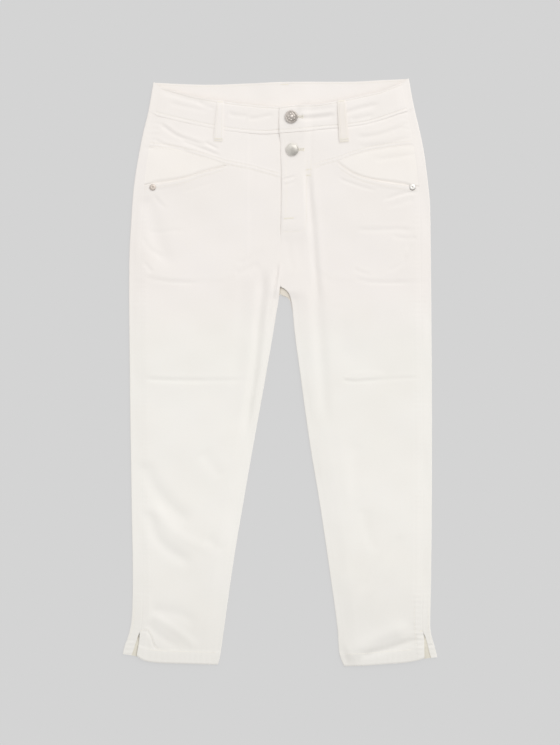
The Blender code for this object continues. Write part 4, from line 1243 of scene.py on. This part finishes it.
def back_meets(side, table):
    """The height at which every column of a back crosses a seam."""
    return meet(lambda y: back_points(side, y)[0], table, side, BACK_COLUMNS)


print(BACK_COLUMNS, "columns in a back")


# %% Lay the backs
def back_panel(side):
    """A back, row by row from the waistband down to the hem."""
    top, hem = (back_meets(side, table) for table in (WAIST_SEAM_BACK, HEM_BACK))
    seam = back_meets(side, WAIST_SEAM_FRONT)[0]
    fold = BACK_CUTS[0]
    top[:fold] = seam + STRIP_SHARES * (top[fold] - seam)
    rows = [top - off for off in NEAR_TOP[::2]]
    rows += between(rows[-1], SHOULDER, 14)
    rows += level_rows(BACK_COLUMNS, ((SHOULDER, CROTCH_TOP, 3), (CROTCH_TOP, CROTCH_FOOT, 1.7),
                                      (CROTCH_FOOT, SHIN, 3)))
    rows += between(SHIN, hem + NEAR_HEM[0], 8)
    rows += [hem + off for off in NEAR_HEM[1:]]
    x, z = (np.stack(axis) for axis in zip(*(back_points(side, row) for row in rows)))
    lay_cloth(f"back_{side}_cloth", x, np.stack(rows), z, WALL, TWILL, faces_up=False, inner_face=REVERSE_WITH_PAINTED_SHADE)


for side in SIGN:
    back_panel(side)

# %% [markdown]
# ## Pockets and the fly underlap
# The pocket's inner wall shows as a facing above the mouth, and hangs on behind the front as a bag. The
# underlap is a plain strip behind the fly that carries the lower button.

# %% Lay the pockets
POCKET_WALL = 0.8
BAG_UNDER_SEAM, BAG_SIDE_ALLOWANCE = 8, 3
FACING_DEPTH, FACING_SLOPE = 0.06, 3.6
# The mouth opens wider away from the middle, and closes again at the rivet.
MOUTH_NARROW, MOUTH_WIDER, MOUTH_WIDENS = 0.5, 1.1, (120, 175)
MOUTH_CLOSED, MOUTH_CLOSES = 0.85, (184, 202)
BAG_ACROSS = spaced(0, 1, 1 / 60)
# Rows lie close together at the mouth and wider apart below it.
BAG_DOWN = np.concatenate((spaced(0, 0.34, 1 / 190), spaced(0.34, 1, 1 / 30)[1:]))[:, None]
BAG_TURN = np.radians((0, 15, 30, 45, 60, 75, 90))


def pocket(side):
    """Facing and bag in one, row by row from under the yoke to the foot of the bag."""
    foot = [(BAG_INNER + BAG_CORNER * (1 - math.cos(a)), BAG_FOOT + BAG_CORNER * (1 - math.sin(a)))
            for a in BAG_TURN] + [(BAG_INNER + 4 * BAG_CORNER, BAG_FOOT)]
    seam = [(row.from_middle, getattr(row, side) + BAG_UNDER_SEAM) for row in YOKE_SEAM]

    def x_at(y):
        """x of every column at its y, from the side seam to the bag's inner edge."""
        start = side_seam_x(side, y) + SIGN[side] * BAG_SIDE_ALLOWANCE
        return start + BAG_ACROSS * (SIGN[side] * BAG_INNER - start)

    ends = []
    for line in (seam, foot):
        y = np.full(len(BAG_ACROSS), 250.0)
        for _ in range(ROUNDS):
            y = curve(line, np.abs(x_at(y)))
        ends.append(y)
    y = ends[0] + BAG_DOWN * (ends[1] - ends[0])
    x = np.stack([x_at(row) for row in y])
    from_middle = np.abs(x)
    hollow = MOUTH_NARROW + MOUTH_WIDER * ease(*MOUTH_WIDENS, from_middle)
    hollow *= 1 - MOUTH_CLOSED * ease(*MOUTH_CLOSES, from_middle)
    above = (y - crossing_y(POCKET_MOUTH, side, x)) / hollow
    shown = (crossing_y(YOKE_SEAM, side, x) + 1.5 - y > 0) * ease(0, FACING_SLOPE, above)
    z = upper_z(x, y) - WALL - LAYER_GAP + (WALL + LAYER_GAP - FACING_DEPTH) * shown
    lay_cloth(f"pocket_{side}_cloth", x, y, z, POCKET_WALL, FACING)


for side in SIGN:
    pocket(side)

# %% Lay the underlap
UNDERLAP_HEAD, UNDERLAP_FOOT = 366, 236


def fly_underlap():
    """A plain strip from the right front's edge to a little past the middle."""
    levels = spaced(UNDERLAP_HEAD, UNDERLAP_FOOT, 3)[:, None]
    start = front_end_x("right", levels)
    x = start + spaced(0, 1, 1 / 12) * (UNDERLAP_END - start)
    y = np.minimum(levels, crossing_y(WAIST_SEAM_FRONT, "right", x))
    lay_cloth("fly_underlap_cloth", x, y, upper_z(x, y), WALL, TWILL)


fly_underlap()

# %% [markdown]
# ## Belt loops
# A loop is a strip folded in three, with two rows of stitches. It stands over the waistband and is tacked
# down at both ends, so it arches a little between them.

# %% Lay the belt loops
Loop = namedtuple("Loop", "name x0 y0 x1 y1 narrow lift cloth")
# The left loop takes the darker twill, which is painted shade.
FRONT_LOOPS = rows_of(Loop, ("belt_loop_right", -90, 408.6, -93.4, 346, 0.7, 1.0, TWILL),
                      ("belt_loop_left", 91, 409.8, 95.7, 345.5, 0.8, 1.4, LOOP_TWILL_PAINTED_SHADE))
HALF_ACROSS = np.array((0, 1.6, 3.2, 4, 4.8, 5.8, 6.6, 7.2, 7.5))
LOOP_ACROSS = np.concatenate((-HALF_ACROSS[:0:-1], HALF_ACROSS))
LOOP_SLACK = 0.4
LOOP_TACK = 3
LOOP_LEAN = 0.4


def loop_section(across):
    """Rolled edges and the grooves of two rows of stitches."""
    inside = LOOP_WIDTH / 2 - np.abs(across)
    return -0.3 * bell(inside, 1.5) - 0.06 * bell(inside - 3.2, 0.8)


def loop_length(loop):
    """The length of a front loop."""
    return math.hypot(loop.x1 - loop.x0, loop.y1 - loop.y0)


def along_loop(loop, t, across):
    """x and y at a distance t down a front loop and a distance across it."""
    length = loop_length(loop)
    ux, uy = (loop.x1 - loop.x0) / length, (loop.y1 - loop.y0) / length
    return loop.x0 + t * ux - across * uy, loop.y0 + t * uy + across * ux


def front_loop(loop):
    """A front loop, from its upper end over the waistband down to the yoke."""
    side = "left" if loop.x0 > 0 else "right"
    length = loop_length(loop)
    share = spaced(0, 1, 1 / 44)[:, None]
    x, y = along_loop(loop, share * length, LOOP_ACROSS * (loop.narrow + (1 - loop.narrow) * share))
    seam, edge = (crossing_y(table, side, loop.x0) for table in (WAIST_SEAM_FRONT, WAIST_EDGE_FRONT))
    _, middle = along_loop(loop, share * length, 0)
    cover = 1 - ease(seam - 12, seam - 2, middle)
    band = BAND_LOFT + GAPE * ease(0, 1, (middle - seam) / (edge - seam))
    ground = band + (upper_z(np.full(middle.shape, loop.x0), middle) - band) * cover
    ends = np.minimum(share, 1 - share) * length
    pinch = 0.15 * bell(ends - LOOP_TACK, 1.6) + 0.7 * bell(ends, 3)
    arch = LOOP_SLACK * np.sin(math.pi * share) - pinch
    z = ground + loop.lift + arch + loop_section(LOOP_ACROSS) - LOOP_LEAN * LOOP_ACROSS / LOOP_WIDTH
    lay_cloth(f"{loop.name}_cloth", x, y, z, LOOP_WALL, loop.cloth)


def back_loop():
    """The back loop, which lies flat under the waistband."""
    x, high, low = BACK_LOOP
    y = spaced(high, low, 1.6)[:, None]
    z = -loop_section(LOOP_ACROSS) * 0.5
    lay_cloth("belt_loop_back_cloth", x + LOOP_ACROSS, y, z, LOOP_WALL, LOOP_TWILL_PAINTED_SHADE, faces_up=False)


for loop in FRONT_LOOPS:
    front_loop(loop)
back_loop()

# %% [markdown]
# ## Cutting the buttonholes
# Each buttonhole is a keyhole: a round eye for the shank and a slit away from the edge of the lap. The
# cutters are a cylinder and a box, and the cloth is kept as cut.

# %% Cut the buttonholes
Button = namedtuple("Button", "name x y cloth")
BUTTONS = rows_of(Button, ("button_waist", 16.2, 383.8, "waistband_front_left_cloth"),
                  ("button_yoke", 17.6, 335, "yoke_left_cloth"))
EYE_RADIUS = 3.1
HOLE_REACH = 16.5
SLIT_WIDTH = 0.06
CUTTER_LEVEL, CUTTER_DEPTH = 8, 20


def cut_buttonhole(spec):
    """Cuts the eye and the slit of a button out of its cloth."""
    cloth = PIECES[spec.cloth]
    eye, slit = bmesh.new(), bmesh.new()
    bmesh.ops.create_cone(eye, cap_ends=True, segments=20, radius1=EYE_RADIUS * MM, radius2=EYE_RADIUS * MM,
                          depth=CUTTER_DEPTH * MM)
    bmesh.ops.create_cube(slit, size=1)
    size = (HOLE_REACH * MM, SLIT_WIDTH * MM, (CUTTER_DEPTH - 1) * MM)
    bmesh.ops.scale(slit, vec=size, verts=slit.verts)
    cutters = []
    for shape, x in ((eye, spec.x), (slit, spec.x + HOLE_REACH / 2)):
        mesh = as_mesh("cutter", shape)
        mesh.transform(Matrix.Translation(Vector((x, spec.y, CUTTER_LEVEL)) * MM))
        cutters.append(put("cutter", mesh))
        cut = cloth.modifiers.new("hole", "BOOLEAN")
        cut.object, cut.operation, cut.solver = cutters[-1], "DIFFERENCE", "EXACT"
    bpy.context.view_layer.update()
    cloth.data = bpy.data.meshes.new_from_object(cloth.evaluated_get(bpy.context.evaluated_depsgraph_get()))
    cloth.modifiers.clear()
    for cutter in cutters:
        bpy.data.objects.remove(cutter)
    print(cloth.name, "has its buttonhole,", len(cloth.data.polygons), "faces")


for spec in BUTTONS:
    cut_buttonhole(spec)

# %% [markdown]
# ## Stitches
# A lockstitch shows as short bars of thread, about 3 mm from one needle hole to the next, a little sunk
# at their ends. Each one here is a small spindle, laid on the cloth where a ray from above or below meets
# it. A bar tack is a dense row of stitches side by side, and so is the purl round a buttonhole.

# %% Make a stitch
STITCH_PITCH, STITCH_LENGTH = 3.0, 2.5
THREAD_WIDTH, THREAD_HEIGHT = 0.5, 0.32
TACK_PITCH, TACK_WIDTH, TACK_HEIGHT = 0.45, 0.62, 0.16
ABOVE, BELOW = 60, -50
SUNK = 0.05
SEWN = {}

spindle = bmesh.new()
bmesh.ops.create_uvsphere(spindle, u_segments=6, v_segments=5, radius=0.5)
bmesh.ops.rotate(spindle, verts=spindle.verts, matrix=Matrix.Rotation(math.pi / 2, 3, "Y"))
SPINDLE = as_mesh("spindle", spindle)
bpy.context.view_layer.update()
depsgraph = bpy.context.evaluated_depsgraph_get()
TREES = {name: BVHTree.FromObject(piece, depsgraph) for name, piece in PIECES.items()}


def on_cloth(name, x, y, from_below=False):
    """The point on a piece of cloth at x and y and its outward normal, or None off its edge."""
    start, way = Vector((x, y, BELOW if from_below else ABOVE)) * MM, Vector((0, 0, 1 if from_below else -1))
    point, normal, _, _ = TREES[name].ray_cast(start, way)
    if point is None:
        return None
    return point / MM, (normal if normal.dot(way) < 0 else -normal)


def put_stitch(name, x, y, heading, length, width=THREAD_WIDTH, height=THREAD_HEIGHT, from_below=False):
    """One stitch on a piece, with its middle at x and y and its length along the heading (dx, dy)."""
    found = on_cloth(name, x, y, from_below)
    if found is None:
        return
    point, normal = found
    along = Vector((*heading, 0))
    along = (along - normal * along.dot(normal)).normalized()
    turn = Matrix((along, normal.cross(along), normal)).transposed().to_4x4()
    size = Matrix.Diagonal((length, width, height, 1))
    one = SPINDLE.copy()
    one.transform(Matrix.Scale(MM, 4) @ Matrix.Translation(point + normal * SUNK) @ turn @ size)
    SEWN.setdefault(name, bmesh.new()).from_mesh(one)
    bpy.data.meshes.remove(one)


def walk(points, pitch):
    """Places along a smooth curve through the points, a pitch apart, with the heading at each."""
    line = smooth_line(points, 24)
    run = np.concatenate(((0,), np.cumsum(np.linalg.norm(np.diff(line, axis=0), axis=1))))
    for place in np.arange(pitch / 2, run[-1], pitch):
        i = min(int(np.searchsorted(run, place)), len(run) - 1)
        step = line[i] - line[i - 1]
        t = (place - run[i - 1]) / (run[i] - run[i - 1])
        yield line[i - 1] + t * step, step / np.linalg.norm(step)


def sew(name, points, from_below=False):
    """A row of stitches on a piece, along a smooth curve through the points."""
    for (x, y), heading in walk(points, STITCH_PITCH):
        put_stitch(name, x, y, heading, STITCH_LENGTH, from_below=from_below)


def tack(name, start, end, width=2.2, from_below=False):
    """A bar tack from start to end."""
    for (x, y), (hx, hy) in walk((start, end), TACK_PITCH):
        put_stitch(name, x, y, (-hy, hx), width, TACK_WIDTH, TACK_HEIGHT, from_below)


def seam_points(table, side, from_middle, offset):
    """Points along a seam that runs across, that far above it."""
    return [(SIGN[side] * at, float(crossing_y(table, side, SIGN[side] * at)) + offset)
            for at in from_middle]


print("thread for", len(TREES), "pieces, with", len(SPINDLE.polygons), "faces in a stitch")


# %% Sew the seams and hems
SLIT_CURVE = ((-210, -387), (-205, -385), (-199, -386), (-194, -393), (-191, -402), (-187, -411),
              (-180, -414.5))
YOKE_REACH = {"right": (3, 20, 42), "left": (50,)}


def sew_front(side):
    """The hem, both rows along the yoke seam and the pocket mouth, and the turning at the slit."""
    front, yoke_name = f"front_{side}_cloth", f"yoke_{side}_cloth"
    sew(front, seam_points(HEM_FRONT, side, (97, 130, 157, 186, 197), HEM_DEPTH))
    for row in SEAM_ROWS:
        reach = YOKE_REACH[side] + (64, 84, 105, 127, 157, 180, 194)
        sew(yoke_name, seam_points(YOKE_SEAM, side, reach, row))
        reach = (abs(MOUTH_TOP[side]) + 4, 95, 108, 122, 140, 166, 192, 203)
        sew(front, seam_points(POCKET_MOUTH, side, reach, -row))
    if side == "left":
        sew(front, [(float(front_lip_x(side, y)) - 12, y) for y in (-352, -370, -390, -408)])
        tack(front, (209, SLIT_TOP + 1.6), (213.6, SLIT_TOP + 2), 1.4)
    else:
        sew(front, SLIT_CURVE)


def sew_band(side):
    """Both long edges of the waistband, in front and at the back, there on both faces."""
    front, back = f"waistband_front_{side}_cloth", "waistband_back_cloth"
    sew(front, seam_points(WAIST_SEAM_FRONT, side, (0, 30, 60, 90, 125, 155, 180, 188), BAND_STITCH))
    sew(front, seam_points(WAIST_EDGE_FRONT, side, (0, 20, 55, 90, 130, 150, 170, 184), -BAND_TOP_STITCH))
    for below in (False, True):
        sew(back, seam_points(WAIST_EDGE_BACK, side, (3, 45, 112, 150, 184), -BAND_TOP_STITCH), below)
        sew(back, seam_points(WAIST_SEAM_BACK, side, (3, 100, 186), BAND_STITCH), below)


def sew_back(side):
    """The hem and the seat seam on the underside, and the back lip of the slit on the upper side."""
    name, sign = f"back_{side}_cloth", SIGN[side]
    sew(name, seam_points(HEM_BACK, side, (98, 140, 180, 222), HEM_DEPTH), from_below=True)
    sew(name, [(sign * 1.9, y) for y in (388, 260, 128)], from_below=True)
    sew(name, [(float(outer_x(side, y)) - sign * 3.2, y) for y in (-352, -380, -400)])


for side in SIGN:
    sew_front(side)
    sew_band(side)
    sew_back(side)
print("stitches on", len(SEWN), "pieces")

# %% Sew the fly, the loops and the buttonholes
FRONT, YOKE = "front_left_cloth", "yoke_left_cloth"
FLY_ROWS = ((FRONT, FLY_STITCHES[1:]),
            (YOKE, ((40, FLY_TOP), (39.5, 303))), (YOKE, ((46, FLY_TOP), (45.6, 305))),
            (FRONT, ((45.5, 303), (45.2, 295))), (YOKE, ((8, FLY_TOP), (8.6, 293))),
            (FRONT, ((8.8, 289), (8.4, 260), (8, 235))))
FLY_TACKS = ((YOKE, (38, 304.8), (46.5, 306), 1.8), (FRONT, (38, 296.4), (46, 297), 1.8),
             (FRONT, (5, 231.5), (20, 232.5), 2.4))
LOOP_ROW, LOOP_TACK_WIDTH = 4.3, 1.7
PURL_PITCH, PURL_OFF, PURL_LENGTH, PURL_WIDTH, PURL_HEIGHT = 0.7, 1.1, 2.1, 0.7, 0.3
BAR_PITCH, BAR_REACH, BAR_LENGTH = 0.6, 2.6, 1.9


def sew_loop(loop):
    """Two rows down a front loop, one tack at its upper end and two at its lower one."""
    name = f"{loop.name}_cloth"
    length = loop_length(loop)
    for across in (-LOOP_ROW, LOOP_ROW):
        sew(name, [along_loop(loop, *end) for end in ((5, across * loop.narrow), (length - 6, across))])
    for t, half in ((2.4, 6 * loop.narrow), (length - 5.2, 6.2), (length - 2.2, 6.2)):
        tack(name, along_loop(loop, t, -half), along_loop(loop, t, half), LOOP_TACK_WIDTH)


def sew_back_loop():
    """The same on the back loop, seen from below, with one tack at each end."""
    name, x = "belt_loop_back_cloth", BACK_LOOP[0]
    for across in (-LOOP_ROW, LOOP_ROW):
        sew(name, ((x + across, 430), (x + across, 399)), from_below=True)
    for level in (432.4, 396.6):
        tack(name, (x - 6, level), (x + 6, level), LOOP_TACK_WIDTH, from_below=True)
    tack("waistband_back_cloth", (0, 433.2), (12, 433), 1.4)


def sew_buttonhole(spec):
    """Purl stitches across both lips of the slit, and a bar at its end."""
    for (x, _), _ in walk(((spec.x + 4, 0), (spec.x + HOLE_REACH, 0)), PURL_PITCH):
        for lip in (-PURL_OFF, PURL_OFF):
            put_stitch(spec.cloth, x, spec.y + lip, (0, 1), PURL_LENGTH, PURL_WIDTH, PURL_HEIGHT)
    for (_, y), _ in walk(((0, spec.y - BAR_REACH), (0, spec.y + BAR_REACH)), BAR_PITCH):
        put_stitch(spec.cloth, spec.x + HOLE_REACH + 1, y, (1, 0), BAR_LENGTH, PURL_WIDTH, PURL_HEIGHT)


for name, points in FLY_ROWS:
    sew(name, points)
for bar in FLY_TACKS:
    tack(*bar)
for loop in FRONT_LOOPS:
    sew_loop(loop)
sew_back_loop()
for spec in BUTTONS:
    sew_buttonhole(spec)

STITCHES = {}
for name, shape in SEWN.items():
    label = name.replace("_cloth", "_stitches")
    mesh = as_mesh(label, shape)
    mesh.shade_smooth()
    mesh.materials.append(THREAD_ECRU)
    STITCHES[name] = put(label, mesh)
    print(label, len(mesh.polygons), "faces")

# %% [markdown]
# ## Buttons and rivets
# A jeans button is a stamped cap closed over a shank. The upper one has a low rim, and on its dome two
# rings of uneven beads make a plain rosette. The lower one is a smooth dome with a thin lip. Both are
# turned shapes: a profile spun round the axis. A rivet is a low cap with a pit in its middle.

# %% Turn a shape
ROUND_STEPS = 48
SHANK_RADIUS = 2.4
SHANK_SHOWN = 0.5
SHANK = ((SHANK_RADIUS, 0.0), (SHANK_RADIUS, -1.0), (0, -1.0))
WAIST_CAP = ((0, 2.5), (1.0, 2.47), (1.7, 2.3), (2.2, 2.0), (3.5, 1.85), (5.0, 1.65), (6.4, 1.3),
             (7.2, 0.95), (7.6, 1.05), (8.0, 1.12), (8.6, 1.05), (9.1, 0.9), (9.45, 0.7), (9.6, 0.55),
             (9.3, 0.35), (8.8, 0.2), (8.0, 0.1), (SHANK_RADIUS, 0.1))
YOKE_CAP = ((0, 3.3), (2, 3.25), (4, 3.05), (6, 2.6), (7.3, 2.1), (8.2, 1.6), (8.5, 1.35), (8.8, 1.4),
            (9.2, 1.35), (9.5, 1.0), (9.4, 0.6), (8.9, 0.25), (8.0, 0.1), (SHANK_RADIUS, 0.1))
RIVET_CAP = ((0, 0.5), (0.4, 0.55), (0.8, 0.95), (1.3, 1.2), (2.2, 1.3), (3.3, 1.15), (4.2, 0.8),
             (4.75, 0.35), (4.6, 0.05), (0, 0.05))


def spun(profile):
    """A closed round shape from a profile of (radius, height)."""
    shape = bmesh.new()
    verts = [shape.verts.new((r, 0, z)) for r, z in profile]
    edges = [shape.edges.new(pair) for pair in zip(verts, verts[1:])]
    bmesh.ops.spin(shape, geom=verts + edges, axis=(0, 0, 1), angle=math.tau, steps=ROUND_STEPS,
                   use_merge=True)
    bmesh.ops.remove_doubles(shape, verts=shape.verts, dist=1e-4)
    bmesh.ops.recalc_face_normals(shape, faces=shape.faces)
    return shape


def add_bead(shape, radius, height, angle, size):
    """A small half-buried bead on the cap: size is (along the radius, across it, up)."""
    made = bmesh.ops.create_icosphere(shape, subdivisions=2, radius=1)["verts"]
    bmesh.ops.scale(shape, vec=size, verts=made)
    bmesh.ops.translate(shape, vec=(radius, 0, height), verts=made)
    bmesh.ops.rotate(shape, verts=made, matrix=Matrix.Rotation(angle, 3, "Z"))


print("waist button", 2 * max(r for r, _ in WAIST_CAP), "mm across")

# %% Set the buttons and rivets
METAL = {}
BEADS = 7
INNER_RING, OUTER_RING = 4.8, 7.2
# Between the two heights hollow and crown a cap turns from its dark tone to its light one: patina in the
# hollows, and on the smooth lower button painted shade and a painted highlight. On a domed cap they are
# heights in its middle, and dome says how fast they fall away from it. The last two numbers paint light:
# how much lighter one side is painted than the other, in height for each millimetre to the left and upwards.
Wear = namedtuple("Wear", "hollow crown dome rubbed_x rubbed_y")
WAIST_PATINA_AND_LIGHT, YOKE_PAINTED_LIGHT = rows_of(Wear, (1.4, 2.6, 0.016, -0.03, 0), (3.0, 4.6, 0.035, -0.12, 0.02))
# The right rivet's tones follow its height alone; the left one is painted darker along its lower side, as painted
# shade.
RIVETS = (("rivet_right", -191.6, 278.4, DULL, Wear(0.3, 0.9, 0, 0, 0)),
          ("rivet_left", 197.8, 278.6, POLISHED, Wear(0.3, 0.9, 0, 0, 0.1)))


def place_metal(shape, name, x, y, z, finish, patina_light):
    """A turned piece in its place, with its two tones at each point: patina, and painted highlight and shade."""
    label = f"{name}_metal"
    mesh = as_mesh(label, shape)
    places = [vertex.co for vertex in mesh.vertices]
    heights = [at.z + patina_light.dome * (at.x ** 2 + at.y ** 2) + patina_light.rubbed_x * at.x + patina_light.rubbed_y * at.y
               for at in places]
    worn = ease(patina_light.hollow, patina_light.crown, heights)
    mesh.attributes.new("worn", "FLOAT", "POINT").data.foreach_set("value", worn)
    mesh.transform(Matrix.Translation(Vector((x, y, z)) * MM) @ Matrix.Scale(MM, 4))
    mesh.shade_smooth()
    mesh.set_sharp_from_angle(angle=math.radians(50))
    mesh.materials.append(finish)
    METAL[name] = put(label, mesh)
    print(label, len(mesh.polygons), "faces")


waist_shape = spun(WAIST_CAP + SHANK)
for k in range(BEADS):
    uneven = 0.18 * math.sin(2.3 * k)
    turn = math.tau / BEADS
    add_bead(waist_shape, INNER_RING + uneven, 1.6, (k + 0.3 + uneven) * turn,
             (1.9 + uneven, 1.1 - uneven, 0.8))
    add_bead(waist_shape, OUTER_RING, 1.0, (k + 0.8 - uneven) * turn, (0.85, 1.0, 0.6 + uneven))
for spec, shape, finish, patina_light in zip(BUTTONS, (waist_shape, spun(YOKE_CAP + SHANK)), (ANTIQUE, BRIGHT),
                                     (WAIST_PATINA_AND_LIGHT, YOKE_PAINTED_LIGHT)):
    under = [on_cloth(spec.cloth, spec.x + dx, spec.y + dy) for dx, dy in ((-8, 0), (0, 8), (0, -8), (8, 4))]
    top = max(point.z for point, _ in under) + SHANK_SHOWN
    place_metal(shape, spec.name, spec.x, spec.y, top, finish, patina_light)
for name, x, y, finish, patina_light in RIVETS:
    ground, _ = on_cloth(f"front_{name.split('_')[1]}_cloth", x, y)
    place_metal(spun(RIVET_CAP), name, x, y, ground.z, finish, patina_light)

# %% [markdown]
# ## Every piece in its place
# All of it lies on one body, since nothing here is jointed. Each piece stands for the plain solid of the
# same name, and each sheet says how large it was cut and what it lies on.

# %% Ride, replace and declare
LIES_ON = {
    "back_right": ["floor"], "back_left": ["floor"], "belt_loop_back": ["floor"],
    "waistband_back": ["floor", "belt_loop_back_cloth"],
    "front_right": ["back_right_cloth"], "front_left": ["back_left_cloth"],
    "pocket_right": ["back_right_cloth"], "pocket_left": ["back_left_cloth"],
    "yoke_right": ["pocket_right_cloth"], "yoke_left": ["fly_underlap_cloth"],
    "fly_underlap": ["back_left_cloth"],
    "waistband_front_right": ["waistband_back_cloth"],
    "waistband_front_left": ["waistband_front_right_cloth"],
    "belt_loop_right": ["waistband_front_right_cloth"], "belt_loop_left": ["waistband_front_left_cloth"],
}
for name, piece in PIECES.items():
    node = name.replace("_cloth", "")
    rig.ride(piece, "root")
    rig.replaces(piece, node)
    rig.slot(piece, "pocket_cloth" if node.startswith("pocket") else "twill")
    sewn = [STITCHES[name]] if name in STITCHES else []
    for stitches in sewn:
        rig.ride(stitches, "root")
        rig.slot(stitches, "twill")
    width, length, area = piece["cut_width"], piece["cut_length"], piece["cut_area"]
    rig.sheet(piece, flat=(width, length), held="laid", rests_on=LIES_ON[node], area=min(area, width * length),
             with_pieces=sewn)
for name, piece in METAL.items():
    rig.ride(piece, "root")
    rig.replaces(piece, name)
    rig.slot(piece, "bright_metal" if name in ("button_yoke", "rivet_left") else "antique_metal")
print(len(PIECES) + len(STITCHES) + len(METAL), "pieces")

# %% [markdown]
# ## The table and the light
# Pale trousers on a pale grey table want a light that is nearly all sky: a bright even surround, and one
# large soft lamp from the upper right that gives the creases their shape. The table is a light table:
# most of its grey is light from within, so that almost no shadow falls on it.

# %% Set the table
TABLE = "d4d4d4"
OWN_LIGHT = 0.85
TABLE_SIZE = 15
TABLE_DROP = 0.2

table_shape = bmesh.new()
bmesh.ops.create_grid(table_shape, x_segments=1, y_segments=1, size=TABLE_SIZE)
table_mesh = as_mesh("floor", table_shape)
floor = put("floor", table_mesh)
floor.location.z = -TABLE_DROP * MM
lit, lit_shader = start_material("light_table")
feed(lit_shader, {"Base Color": [(1 - OWN_LIGHT) * part for part in srgb(TABLE)[:3]] + [1], "Roughness": 1,
                  "Specular IOR Level": 0, "Emission Color": srgb(TABLE), "Emission Strength": OWN_LIGHT})
table_mesh.materials.append(lit)
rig.stage(floor)
print("table", TABLE, "with", OWN_LIGHT, "of its grey as its own light")

# %% Set the light
SKY = 0.755
SKY_SLOPE = 0.32
LAMP = 1.1
LAMP_TILT, LAMP_HEADING, LAMP_SOFTNESS = (math.radians(angle) for angle in (45, 45, 45))

world = bpy.data.worlds.new("surround")
world.use_nodes = True
ray = add(world, "ShaderNodeTexCoord").outputs["Generated"]
ray_y = add(world, "ShaderNodeSeparateXYZ", {}, {"Vector": ray}).outputs["Y"]
bright = add(world, "ShaderNodeMapRange", {},
             {"Value": ray_y, "From Min": -1, "From Max": 1,
              "To Min": SKY * (1 - SKY_SLOPE), "To Max": SKY * (1 + SKY_SLOPE)})
feed(world.node_tree.nodes["Background"], {"Color": (1, 1, 1, 1), "Strength": bright})
bpy.context.scene.world = world
lamp_data = bpy.data.lights.new("soft_lamp", "SUN")
lamp_data.energy = LAMP
lamp_data.angle = LAMP_SOFTNESS
toward = Vector((math.sin(LAMP_TILT) * math.sin(LAMP_HEADING), math.sin(LAMP_TILT) * math.cos(LAMP_HEADING),
                 math.cos(LAMP_TILT)))
put("soft_lamp", lamp_data).rotation_euler = toward.to_track_quat("Z", "Y").to_euler()
print("lamp from", [round(part, 2) for part in toward])

# %% Write the sizes and finish
new_low, new_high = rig.bounds()
with open("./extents.json", "w") as out:
    json.dump({"cad": [list(cad_low), list(cad_high)], "scene": [list(new_low), list(new_high)]}, out)
print("scene box", new_low, new_high)
